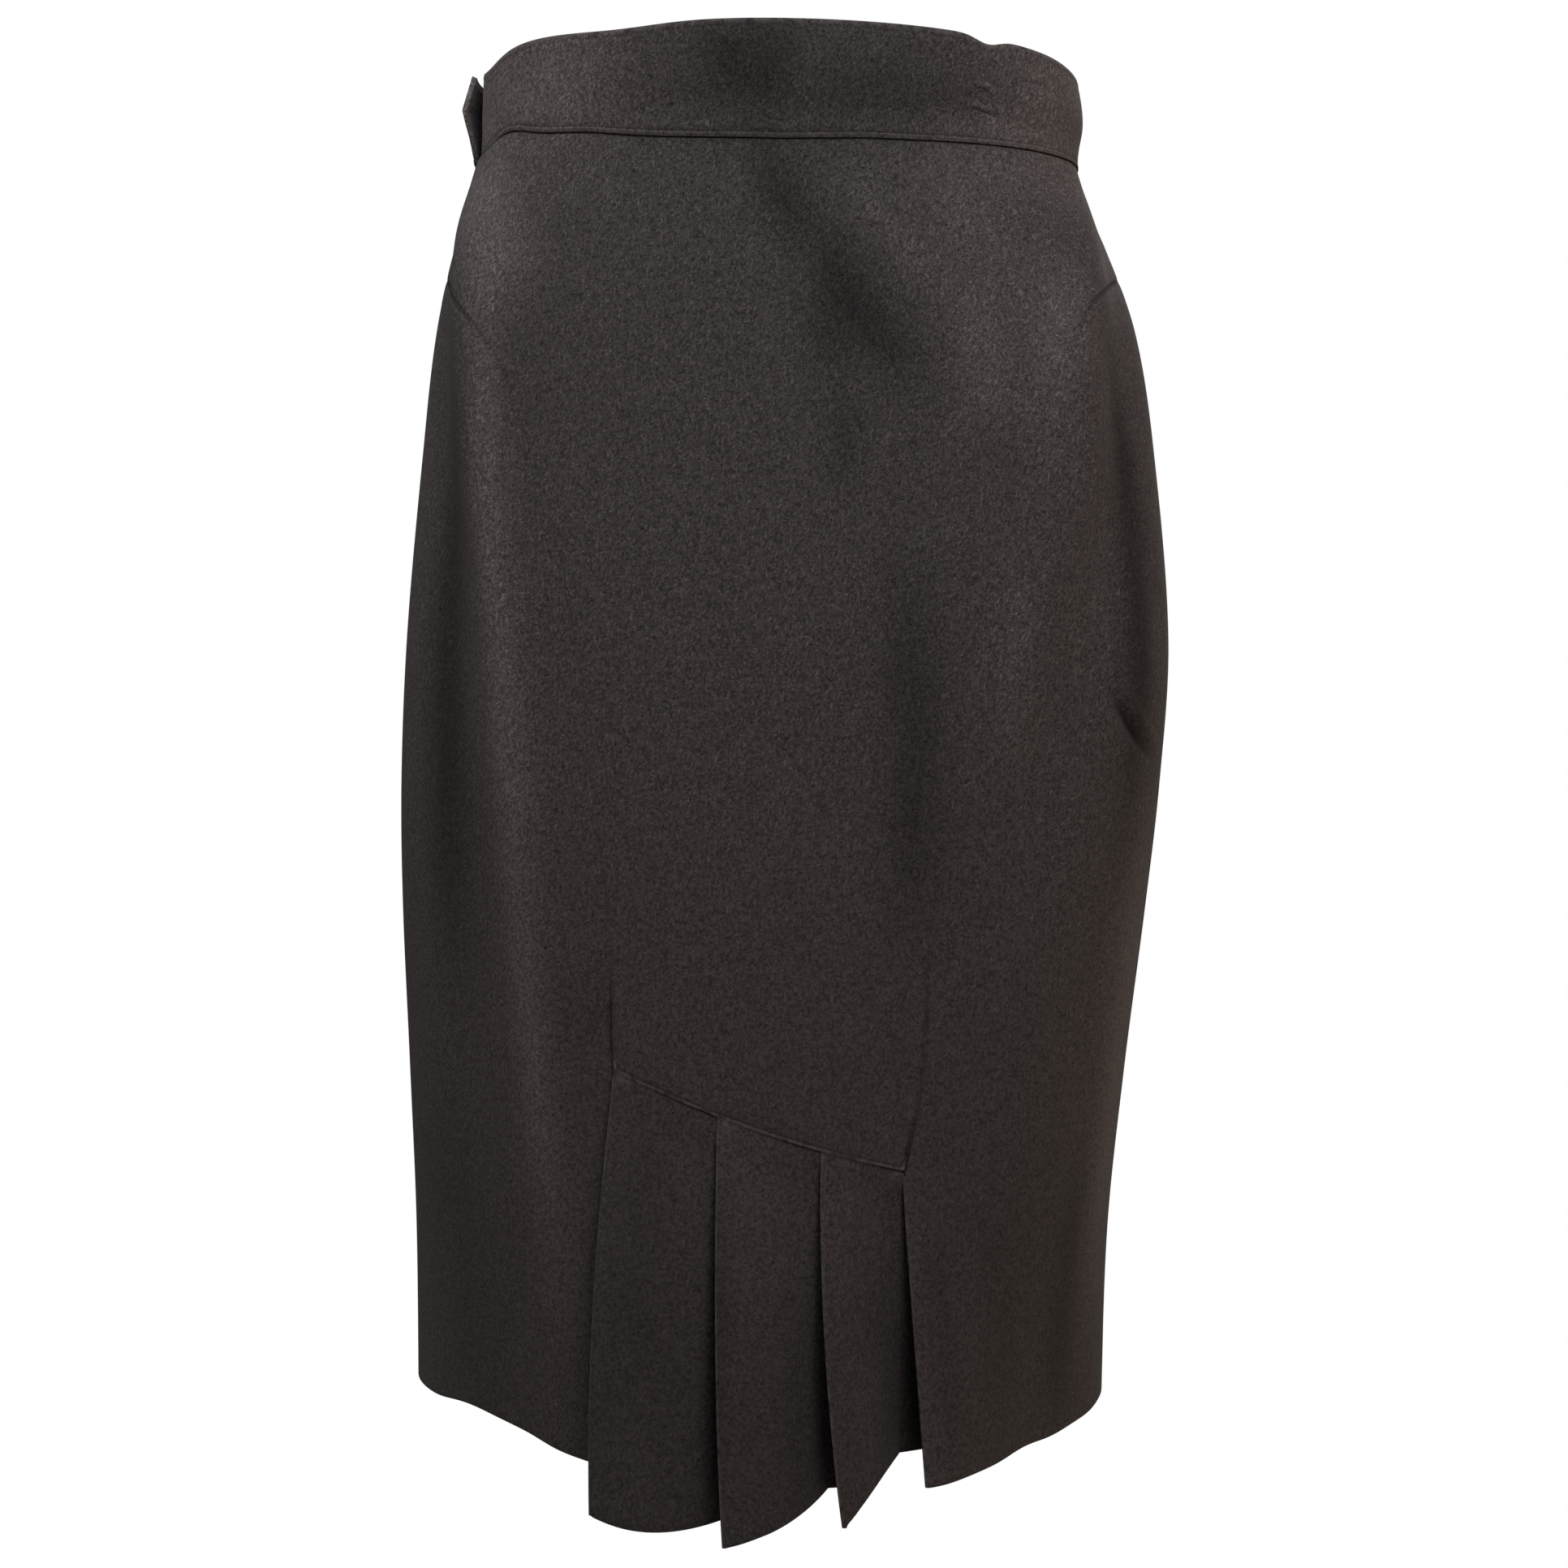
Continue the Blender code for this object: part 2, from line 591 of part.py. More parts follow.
def zip_frame():
    """Where the slider sits on the seam: x along the cloth, y out of the cloth, z up the seam."""
    place = on_cloth(LEFT_SEAM, -SLIDER_DROP)
    up = (on_cloth(LEFT_SEAM, -SLIDER_DROP + 0.006) - on_cloth(LEFT_SEAM, -SLIDER_DROP - 0.006)).normalized()
    along = Vector((0.0, 0.0, 1.0)).cross(outward(LEFT_SEAM, -SLIDER_DROP)).normalized()
    out = along.cross(up).normalized()
    axes = Matrix((-along, out, up)).transposed().to_4x4()
    return Matrix.Translation(place) @ axes


# Slider and pull, in the slider's own frame: x along the cloth, y out of the cloth, z up the seam
PLATE_LOW = CLOTH / 2 + SEAM_GAP + 0.1 * MM
PLATE = 0.9 * MM
PLATE_HALF = (2.7 * MM, 3.6 * MM)
PLATE_STEP = 0.2 * MM  # the long plate is this much thinner than the block of the lugs
LUG_IN = 1.5 * MM
LUG_OUT = 2.4 * MM
LUG_HALF_HEIGHT = 1.6 * MM
LUG_OVER_PIN = 1.0 * MM
EYE_INNER = PIN_RADIUS + EYE_CLEARANCE
EYE_OUTER = EYE_INNER + EYE_WALL
PIN_OUT = PLATE_LOW + PLATE + EYE_OUTER + 0.35 * MM
PULL_HALF_THICK = 0.5 * MM
PULL_NECK = 0.9 * MM


def mesh_of(shape, name):
    """The mesh of a bmesh shape, its faces pointing out."""
    bmesh.ops.recalc_face_normals(shape, faces=shape.faces)
    mesh = bpy.data.meshes.new(name)
    shape.to_mesh(mesh)
    shape.free()
    return mesh


def extruded(name, outline, along, half):
    """A flat outline drawn out to both sides along x, y or z, by half its thickness each."""
    shape = bmesh.new()
    face = shape.faces.new([shape.verts.new(point) for point in outline])
    lifted = bmesh.ops.extrude_face_region(shape, geom=[face])["geom"]
    corners = [v for v in lifted if isinstance(v, bmesh.types.BMVert)]
    bmesh.ops.translate(shape, vec=2 * half * along, verts=corners)
    bmesh.ops.translate(shape, vec=-half * along, verts=shape.verts)
    return mesh_of(shape, name)


def join_to(thing, name, mesh, place):
    """Joins a mesh to an object by a union. The joined mesh's own object isn't a part."""
    extra = add_object(name, mesh, METAL)
    extra.hide_render = True
    extra.display_type = "WIRE"
    extra.matrix_world = place
    joined = thing.modifiers.new(name, "BOOLEAN")
    joined.operation = "UNION"
    joined.object = extra


def zip_slider():
    """The slider at the top of the seam: a plate with two lugs, and the pin that carries the pull."""
    lug_top = PIN_OUT + LUG_OVER_PIN
    lugs = (
        (-LUG_OUT, PLATE_LOW),
        (LUG_OUT, PLATE_LOW),
        (LUG_OUT, lug_top),
        (LUG_IN, lug_top),
        (LUG_IN, PLATE_LOW + PLATE),
        (-LUG_IN, PLATE_LOW + PLATE),
        (-LUG_IN, lug_top),
        (-LUG_OUT, lug_top),
    )
    up = Vector((0.0, 0.0, 1.0))
    slider = add_object(
        "zip_slider", extruded("zip_slider", [(x, y, 0.0) for x, y in lugs], up, LUG_HALF_HEIGHT), METAL
    )
    slider.matrix_world = zip_frame()

    half_wide, half_high = PLATE_HALF
    plate_top = PLATE_LOW + PLATE - PLATE_STEP
    corners = [(x, y, 0.0) for x, y in (
        (-half_wide, PLATE_LOW),
        (half_wide, PLATE_LOW),
        (half_wide, plate_top),
        (-half_wide, plate_top),
    )]
    plate = extruded("slider_plate", corners, up, half_high)
    join_to(slider, "slider_plate", plate, zip_frame())

    shape = bmesh.new()
    length = LUG_IN + LUG_OUT
    bmesh.ops.create_cone(
        shape, cap_ends=True, segments=12, radius1=PIN_RADIUS, radius2=PIN_RADIUS, depth=length
    )
    bmesh.ops.rotate(shape, matrix=Matrix.Rotation(math.pi / 2, 3, "Y"), verts=shape.verts)
    bmesh.ops.translate(shape, vec=(0, PIN_OUT, 0), verts=shape.verts)
    join_to(slider, "slider_pin", mesh_of(shape, "slider_pin"), zip_frame())


def drop_outline(count):
    """The outline of the pull's drop shape, narrow at the eye and wide at its end."""
    outline = []
    for k in range(count):
        turn = 2 * math.pi * k / count
        down = 0.5 - 0.5 * math.cos(turn)
        half = mix(PULL_NECK, PULL_WIDTH / 2, smooth_step(0.0, 0.7, down)) * abs(math.sin(turn)) ** 0.6
        z = -mix((EYE_INNER + EYE_OUTER) / 2, PULL_LENGTH, down)
        outline.append((math.copysign(half, math.pi - turn), 0.0, z))
    return outline


def zip_pull():
    """The drop-shaped pull, with its eye round the slider's pin. Its origin is on the pin's axis."""
    half_eye = LUG_IN - EYE_CLEARANCE
    segments = 16
    turns = [2 * math.pi * k / segments for k in range(segments)]
    profile = ((-half_eye, EYE_INNER), (-half_eye, EYE_OUTER), (half_eye, EYE_OUTER), (half_eye, EYE_INNER))
    shape = bmesh.new()
    rings = []
    for x, radius in profile:
        circle = [(x, radius * math.cos(turn), radius * math.sin(turn)) for turn in turns]
        rings.append([shape.verts.new(point) for point in circle])
    for a, b in zip(rings, rings[1:] + rings[:1]):
        for k in range(segments):
            after = (k + 1) % segments
            shape.faces.new((a[k], b[k], b[after], a[after]))
    place = zip_frame() @ Matrix.Translation((0, PIN_OUT, 0))
    pull = add_object("zip_pull", mesh_of(shape, "zip_pull"), METAL)
    pull.matrix_world = place
    tab = extruded("pull_tab", drop_outline(20), Vector((0.0, 1.0, 0.0)), PULL_HALF_THICK)
    join_to(pull, "pull_tab", tab, place)
    axis, centre = place.col[0].xyz, place.col[3].xyz
    print("pin axis", [round(c, 6) for c in axis], "at", [round(c, 6) for c in centre])


def build():
    for thing in list(bpy.data.objects):
        bpy.data.objects.remove(thing)
    waistband()
    centre_panel()
    for side in (-1, 1):
        side_panel(side)
        back_panel(side)
    pleat_inset()
    side_zip()
    zip_slider()
    zip_pull()


build()
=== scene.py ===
# %% [markdown]
# # A wool pencil skirt with an inset of knife pleats
# The real skirt is cut from dark wool flannel and sewn from eight pieces of cloth: a waistband, a shaped
# centre panel, two side panels, two back panels and a slanted inset of pleats. A zip closes its left side.
# It is shown as worn, hollow and open at the waist and hem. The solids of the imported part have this
# shape already, so this lesson loads them first. It then hangs a finer shell of cloth on each one.

import math
from collections import namedtuple

import bmesh
import bpy
import numpy as np
from mathutils import Matrix, Vector
from mathutils.kdtree import KDTree


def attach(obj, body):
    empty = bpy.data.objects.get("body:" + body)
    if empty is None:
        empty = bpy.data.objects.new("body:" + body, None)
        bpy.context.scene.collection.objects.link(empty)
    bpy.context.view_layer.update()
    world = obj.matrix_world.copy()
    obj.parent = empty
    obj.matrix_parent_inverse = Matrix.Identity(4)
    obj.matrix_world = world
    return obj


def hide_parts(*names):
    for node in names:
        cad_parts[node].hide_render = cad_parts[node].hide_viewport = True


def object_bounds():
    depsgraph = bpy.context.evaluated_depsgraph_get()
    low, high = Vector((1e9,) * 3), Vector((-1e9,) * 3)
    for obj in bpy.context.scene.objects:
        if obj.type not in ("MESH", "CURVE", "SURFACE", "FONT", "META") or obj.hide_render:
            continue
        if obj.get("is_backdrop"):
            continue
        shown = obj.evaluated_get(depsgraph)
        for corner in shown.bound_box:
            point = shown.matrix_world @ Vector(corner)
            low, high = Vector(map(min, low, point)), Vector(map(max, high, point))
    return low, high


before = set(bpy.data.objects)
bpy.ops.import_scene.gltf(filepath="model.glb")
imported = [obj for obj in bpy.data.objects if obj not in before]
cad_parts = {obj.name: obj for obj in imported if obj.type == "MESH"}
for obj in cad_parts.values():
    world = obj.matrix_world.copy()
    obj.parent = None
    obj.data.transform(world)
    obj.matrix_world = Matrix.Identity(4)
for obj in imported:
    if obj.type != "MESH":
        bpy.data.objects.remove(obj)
solid_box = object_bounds()
print("solids reach from", [round(c, 3) for c in solid_box[0]], "to", [round(c, 3) for c in solid_box[1]])

# %% [markdown]
# ## Sizes of the garment
# A maker drafts a skirt from a few sizes: how wide it is at each height, where its seams run, and how
# long it is. The tables below are that draft. A place on the cloth is an angle round the body and a
# height z. Angle 0 is the middle of the pleated side, 90 the right side seam and 180 the middle of the
# back. One smooth curve through the rows of a table gives every size in between, which keeps the cloth
# free of kinks. The shape stays in tables because they are quick to read and to alter.

# %% Lengths, thicknesses and seam places
MM = 0.001
BAND_TOP = 0.044
SEAM_DIP = 0.007  # the waist seam lies this much lower at the middle of the pleated side
DIP_POWER = 1.5
CLOTH = 1.2 * MM
BAND_CLOTH = 2.4 * MM
SEAM_GAP = 0.34 * MM  # between the solids
HALF_GAP = -0.08 * MM  # each cut edge passes the middle of its seam by this much, so no light shows through
LAYER = 1.55 * MM  # one layer of pleat to the next, cloth and gap
MEAN_RADIUS = 0.16  # turns a short way along the cloth into an angle
LEFT_SEAM, RIGHT_SEAM, BACK_SEAM = -96.0, 90.0, 180.0
INSET_LEFT, INSET_RIGHT, INSET_BOW = (-27.7, -0.424), (24.3, -0.467), 0.003

# %% Outline of the worn cloth at some heights
def named_rows(columns, *rows):
    """A table whose columns have names."""
    Row = namedtuple("Row", columns)
    return [Row(*row) for row in rows]


SECTIONS = named_rows(
    "z left right front back squareness",
    (0.044, 0.1447, 0.1447, 0.1072, 0.105, 2.00),
    (0.022, 0.1453, 0.1476, 0.1060, 0.106, 2.02),
    (0.000, 0.1463, 0.1462, 0.1040, 0.107, 2.05),
    (-0.040, 0.1590, 0.1632, 0.1090, 0.115, 2.10),
    (-0.080, 0.1664, 0.1768, 0.1140, 0.125, 2.15),
    (-0.140, 0.1718, 0.1864, 0.1200, 0.136, 2.20),
    (-0.230, 0.1790, 0.1944, 0.1280, 0.140, 2.25),
    (-0.300, 0.1817, 0.1911, 0.1330, 0.138, 2.20),
    (-0.360, 0.1812, 0.1854, 0.1370, 0.136, 2.10),
    (-0.440, 0.1778, 0.1766, 0.1420, 0.134, 2.00),
    (-0.520, 0.1746, 0.1698, 0.1470, 0.132, 1.90),
    (-0.620, 0.1735, 0.1682, 0.1520, 0.130, 1.80),
)
BACK_SQUARENESS = 2.1


# %% Smooth curves through the rows of a table
def mix(a, b, share):
    return a + (b - a) * share


def smooth_step(low, high, value):
    share = np.clip((value - low) / (high - low), 0.0, 1.0)
    return share * share * (3.0 - 2.0 * share)


def hump(off, width):
    """1 at the middle and close to 0 from two widths away."""
    return np.exp(-((off / width) ** 2))


def arc_bow(share):
    """0 at both ends of a line and 1 at its middle."""
    return 4.0 * share * (1.0 - share)


def curve(table, name, at):
    """A table's named column where its first column is at, on a smooth curve through the rows."""
    rows = sorted(table)
    keys = np.array([row[0] for row in rows])
    values = np.array([getattr(row, name) for row in rows])
    low = np.maximum(np.arange(len(rows)) - 1, 0)
    high = np.minimum(np.arange(len(rows)) + 1, len(rows) - 1)
    slopes = (values[high] - values[low]) / (keys[high] - keys[low])
    at = np.clip(at, keys[0], keys[-1])
    i = np.clip(np.searchsorted(keys, at) - 1, 0, len(rows) - 2)
    span = keys[i + 1] - keys[i]
    t = (at - keys[i]) / span
    return (
        (2 * t**3 - 3 * t**2 + 1) * values[i]
        + (t**3 - 2 * t**2 + t) * span * slopes[i]
        + (3 * t**2 - 2 * t**3) * values[i + 1]
        + (t**3 - t**2) * span * slopes[i + 1]
    )


def turned(angle):
    """The same direction as an angle from -180 to 180."""
    return (angle + 180.0) % 360.0 - 180.0


print("half width to the right at the hips:", round(float(curve(SECTIONS, "right", -0.2)), 4), "m")

# %% Hem and curved seams
HEM_LINE = named_rows(
    "angle z",
    (-180.0, -0.600), (-96.0, -0.598), (-78.0, -0.5955), (-56.0, -0.590), (-40.0, -0.595),
    (-24.0, -0.600), (27.0, -0.602), (96.0, -0.602), (180.0, -0.600),
)
CURVED_SEAM = named_rows(
    "z angle",
    (-0.052, 92.0), (-0.060, 79.0), (-0.072, 67.0), (-0.100, 58.0), (-0.145, 49.0), (-0.192, 41.5),
    (-0.245, 36.3), (-0.300, 32.6), (-0.360, 29.2), (-0.424, 27.7), (-0.467, 24.3),
)
HIP_END = 60.0  # the seam crosses the hip down to this angle
SEAM_SETTLE = 0.06  # below its start by this much, the seam has the angles above on both sides


def hem(angle):
    """z of the hem, with the small unevenness of a hem that hangs freely."""
    slow, quick = np.sin(np.radians(11.0 * angle)), np.sin(np.radians(23.0 * angle + 40.0))
    return curve(HEM_LINE, "z", turned(angle)) + 0.30 * MM * slow + 0.25 * MM * quick


# Where the left hip pushes the waist seam up
PUSHES = named_rows("angle width height", (-66.5, 8.8, 6.6 * MM), (-50.0, 14.0, 3.4 * MM))


def waist_seam(angle):
    """z of the seam under the waistband."""
    pushed = sum(push.height * hump(turned(angle) - push.angle, push.width) for push in PUSHES)
    return pushed - SEAM_DIP * np.maximum(0.0, np.cos(np.radians(angle))) ** DIP_POWER


def inset_seam(angle):
    """z of the slanted seam above the pleats."""
    share = (angle - INSET_LEFT[0]) / (INSET_RIGHT[0] - INSET_LEFT[0])
    return mix(INSET_LEFT[1], INSET_RIGHT[1], share) - INSET_BOW * np.maximum(0.0, arc_bow(share))


# %% [markdown]
# ## Folds and creases
# A skirt that is worn isn't smooth. Long soft folds run down from the hips where the pleated side turns
# to the sides, and shallow troughs pull across the lap and the seat. A simulation would make such folds
# somewhere, but not where the real cloth has them. So each is placed one by one: the long folds as tables
# of crest heights, and the others as one row each, with its two ends, its sideways bow, its width and
# its depth. A negative depth is a trough. No two rows are alike, because real creases never are.

# %% Long soft folds
FOLD_COLUMNS = "z angle height"
LEFT_FOLD = named_rows(
    FOLD_COLUMNS,
    (-0.010, -78.0, 0.0),
    (-0.050, -71.0, 3.6 * MM),
    (-0.105, -63.8, 5.6 * MM),
    (-0.163, -57.6, 6.0 * MM),
    (-0.220, -51.8, 5.6 * MM),
    (-0.285, -48.0, 4.8 * MM),
    (-0.340, -43.4, 4.2 * MM),
    (-0.420, -40.0, 2.8 * MM),
    (-0.520, -40.0, 0.0),
)
RIGHT_FOLD = named_rows(
    FOLD_COLUMNS,
    (0.000, 78.0, 0.5 * MM),
    (-0.044, 68.8, 3.2 * MM),
    (-0.100, 61.5, 4.6 * MM),
    (-0.145, 58.6, 4.2 * MM),
    (-0.195, 51.0, 3.4 * MM),
    (-0.257, 43.2, 3.0 * MM),
    (-0.311, 37.6, 2.2 * MM),
    (-0.400, 31.0, 0.0),
)
FOLD_WIDTH, HOLLOW_SHIFT, HOLLOW_WIDTH, HOLLOW_DEPTH = 5.5, 12.0, 7.0, 0.8


def soft_folds(angle, z):
    """How far the long soft folds lift the cloth, with the hollow on their outer side."""
    lift = np.zeros(np.broadcast(angle, z).shape)
    for fold, side in ((LEFT_FOLD, -1.0), (RIGHT_FOLD, 1.0)):
        height = np.maximum(0.0, curve(fold, "height", z)) * ((z > fold[-1].z) & (z <= fold[0].z))
        off = (turned(angle) - curve(fold, "angle", z)) * side
        crest = hump(off, FOLD_WIDTH) - HOLLOW_DEPTH * hump(off - HOLLOW_SHIFT, HOLLOW_WIDTH)
        lift = lift + height * crest
    return lift


# %% Creases placed one by one
Line = namedtuple("Line", "angle z end_angle end_z bow width amount")


def lines(unit, *rows):
    """Lines from rows in degrees and mm. unit is what their amounts are counted in."""
    scales = (1.0, MM, 1.0, MM, MM, MM, unit)
    return [Line(*(value * scale for value, scale in zip(row, scales))) for row in rows]


# Columns: angle and z of the start and of the end, bow, width, and how far it lifts the cloth
CREASES = lines(
    MM,
    # The lap: a ridge to the right hip with a trough at its lower left, and a second trough below them
    (16, 4, 50, -118, 3, 19, 3.2),
    (-2, -6, 29.6, -120, 3, 14, -2.4),
    (26, -130, 21, -320, -4, 13, -2),
    (-14, -60, -22, -190, 3, 14, -0.5),
    # Drag lines that cross on the lap, and the breaks above the two corners of the inset
    (-8, -255, 13, -310, 2, 7, -0.45),
    (12, -250, -9, -318, -2, 7, -0.4),
    (-30.5, -345, -28, -430, 1, 5, -0.9),
    (25.5, -400, 24.2, -470, 1, 3, -0.6),
    # The right thigh: a short pulled crease and the soft runs above and below it
    (61.5, -252, 74.5, -286, 4, 3.4, -2.1),
    (63.6, -249, 76.5, -281, 4, 2.6, 0.9),
    (57, -254, 71, -294, 4, 7, 0.5),
    (66, -90, 78, -250, 5, 10, -1),
    (45, -330, 52, -520, -4, 16, 0.9),
    (60, -340, 66, -560, 3, 14, -1),
    # The left thigh
    (-60, -330, -58, -540, 4, 15, -1.2),
    (-74, -200, -70, -430, -3, 12, -1),
    # The seat and the back, with the same kinds of creases
    (118, -20, 140, -120, 4, 12, -1.9),
    (-112, -30, -138, -110, -3, 11, -1.8),
    (150, -60, 171, -100, 3, 9, -1.3),
    (-152, -55, -172, -88, -2, 8, -1.2),
    (128, -230, 172, -268, 5, 10, -2.4),
    (-126, -238, -170, -262, -4, 9, -2.1),
    (140, -275, 168, -300, 3, 7, -1.3),
    (-144, -282, -167, -296, -3, 7, -1.1),
    (108, -120, 104, -420, 4, 15, 2.4),
    (-114, -130, -108, -400, -4, 16, 2.2),
    (145, -330, 150, -580, 4, 17, 1.4),
    (-140, -340, -149, -570, -5, 16, 1.2),
    (122, -360, 127, -590, 3, 15, -1.5),
    (-124, -350, -121, -580, -3, 14, -1.3),
)

# %% How far a table's lines lift the cloth at a place
FADE_IN, FADE_OUT = (-0.15, 0.35), (0.65, 1.15)  # shares of its length over which a line comes and goes


def along_lines(table, angle, z):
    """The amounts of a table's lines here: each is whole on its line, and fades over its width and ends."""
    total = np.zeros(np.broadcast(angle, z).shape)
    for line in table:
        run = math.radians(line.end_angle - line.angle) * MEAN_RADIUS
        rise = line.end_z - line.z
        length = math.hypot(run, rise)
        across = np.radians(turned(angle - line.angle)) * MEAN_RADIUS
        share = (across * run + (z - line.z) * rise) / length**2
        off = (across * rise - (z - line.z) * run) / length
        off = off - line.bow * arc_bow(share)
        fade = smooth_step(*FADE_IN, share) * (1.0 - smooth_step(*FADE_OUT, share))
        total = total + line.amount * hump(off, line.width) * fade
    return total


# %% A place on the cloth
TURN_STEP = 0.5  # degrees to each side over which the outline's direction is measured


def ring(angle, z):
    """A point of the plain rounded outline, with no folds."""
    across, along = np.sin(np.radians(angle)), np.cos(np.radians(angle))
    width = np.where(across < 0, curve(SECTIONS, "left", z), curve(SECTIONS, "right", z))
    depth = np.where(along > 0, curve(SECTIONS, "front", z), curve(SECTIONS, "back", z))
    power = np.where(along > 0, curve(SECTIONS, "squareness", z), BACK_SQUARENESS)
    radius = ((np.abs(across) / width) ** power + (np.abs(along) / depth) ** power) ** (-1.0 / power)
    return np.stack(np.broadcast_arrays(radius * across, -radius * along, z), axis=-1)


def outward(angle, z):
    """The level direction that points out of the cloth."""
    along = ring(angle + TURN_STEP, z) - ring(angle - TURN_STEP, z)
    out = np.stack([along[..., 1], -along[..., 0], np.zeros(along.shape[:-1])], axis=-1)
    return out / np.linalg.norm(out, axis=-1, keepdims=True)


def on_cloth(angle, z, out=0.0):
    """A point on the middle of the cloth's thickness, moved out."""
    lift = soft_folds(angle, z) + along_lines(CREASES, angle, z) + out
    return ring(angle, z) + outward(angle, z) * np.asarray(lift)[..., None]


print("middle of the lap:", np.round(on_cloth(np.array(0.0), np.array(-0.15)), 4))

# %% [markdown]
# ## Seams
# Sewn pieces meet in a seam: each edge turns inwards, and the seam allowance behind it, pressed open,
# lifts the cloth a little to both sides. Modelling that as geometry would need cells below 1 mm. Here
# each point of the cloth keeps its distance to the nearest seam instead. The mesh dips only softly
# there, and the material draws the sharp groove from that distance as a bump with painted shade in it.

# %% The curved seams, walked in even steps
FINE_STEPS, FINE_SPREAD = 401, 1.5  # the points at which the seam is measured before it is divided
HIP_SPREAD, DOWN_SPREAD = 1.2, 1.15  # over 1, the steps are closer at the side seam and at the inset


def seam_path(side, last_z, across, down):
    """The curved seam as rows of (angle, z): steps across the hip, and then down to the inset's corner."""
    start = -LEFT_SEAM if side < 0 else RIGHT_SEAM
    top = CURVED_SEAM[0].z
    z = mix(top, last_z, np.linspace(0.0, 1.0, FINE_STEPS) ** FINE_SPREAD)
    angle = curve(CURVED_SEAM, "angle", z)
    angle += (start - CURVED_SEAM[0].angle) * (1.0 - smooth_step(0.0, SEAM_SETTLE, top - z))
    steps = np.linalg.norm(np.diff(ring(side * angle, z), axis=0), axis=1)
    walked = np.concatenate([[0.0], np.cumsum(steps)])
    turn = walked[np.argmax(angle < HIP_END)]
    hip = turn * np.linspace(0.0, 1.0, across + 1)[:-1] ** HIP_SPREAD
    fall = 1.0 - (1.0 - np.linspace(0.0, 1.0, down + 1)) ** DOWN_SPREAD
    at = np.concatenate([hip, mix(turn, walked[-1], fall)])
    return np.stack([np.interp(at, walked, side * angle), np.interp(at, walked, z)], axis=1)


def moved_aside(path, gap):
    """The points of a seam moved to its right-hand side, seen from outside and walking along it."""
    per_metre = math.degrees(1.0 / MEAN_RADIUS)
    step = np.gradient(path, axis=0)
    run, rise = step[:, 0] / per_metre, step[:, 1]
    length = np.hypot(run, rise)
    return path + np.stack([gap * rise / length * per_metre, -gap * run / length], axis=1)


# %% Distance to the nearest seam, and how much that seam shows
FAR = 0.03  # from here on, the distance to a seam makes no difference
ROUND_POINTS, SIDE_POINTS, CURVED_POINTS, INSET_POINTS = 1100, 600, (110, 340), 160
WAIST_SHOWS, SIDE_SHOWS, INSET_SHOWS = 1.0, 0.35, 0.45
# How much a curved seam shows at least, what its hip, its low part and its end add, and between which places
CURVED_SHOWS, HIP_ADDS, LOW_ADDS, END_ADDS = 0.08, 0.92, 0.22, 0.5
HIP_ANGLES, LOW_HEIGHTS, END_HEIGHTS = (56.0, 76.0), (-0.35, -0.42), (-0.440, -0.462)


def curved_seam_shows(path):
    """The pressed seam is clear only over the hip and above the pleats."""
    hip = HIP_ADDS * smooth_step(*HIP_ANGLES, np.abs(path[:, 0]))
    low = LOW_ADDS * smooth_step(*LOW_HEIGHTS, path[:, 1])
    end = END_ADDS * smooth_step(*END_HEIGHTS, path[:, 1])
    return CURVED_SHOWS + hip + low + end


def seam_lines():
    """Points along every seam, about 1 mm apart, and how much each of them shows."""
    round_it = np.linspace(-180.0, 180.0, ROUND_POINTS)
    yield on_cloth(round_it, waist_seam(round_it)), np.full_like(round_it, WAIST_SHOWS)
    for angle in (LEFT_SEAM, RIGHT_SEAM, BACK_SEAM):
        z = np.linspace(0.0, float(hem(angle)), SIDE_POINTS)
        yield on_cloth(np.full_like(z, angle), z), np.full_like(z, SIDE_SHOWS)
    for side, corner in ((-1, INSET_LEFT), (1, INSET_RIGHT)):
        path = seam_path(side, corner[1], *CURVED_POINTS)
        yield on_cloth(path[:, 0], path[:, 1]), curved_seam_shows(path)
    across = np.linspace(INSET_LEFT[0], INSET_RIGHT[0], INSET_POINTS)
    yield on_cloth(across, inset_seam(across)), np.full_like(across, INSET_SHOWS)


seam_places, seam_shows = [np.concatenate(part) for part in zip(*seam_lines())]
seam_tree = KDTree(len(seam_places))
for i, place in enumerate(seam_places):
    seam_tree.insert(place, i)
seam_tree.balance()


def nearest_seam(points):
    """For each point its distance to the nearest seam, and how much that seam shows."""
    found = [seam_tree.find(p) for p in points.reshape(-1, 3)]
    distance = np.minimum([f[2] for f in found], FAR).reshape(points.shape[:-1])
    return distance, seam_shows[[f[1] for f in found]].reshape(points.shape[:-1])


print(len(seam_places), "points along the seams")
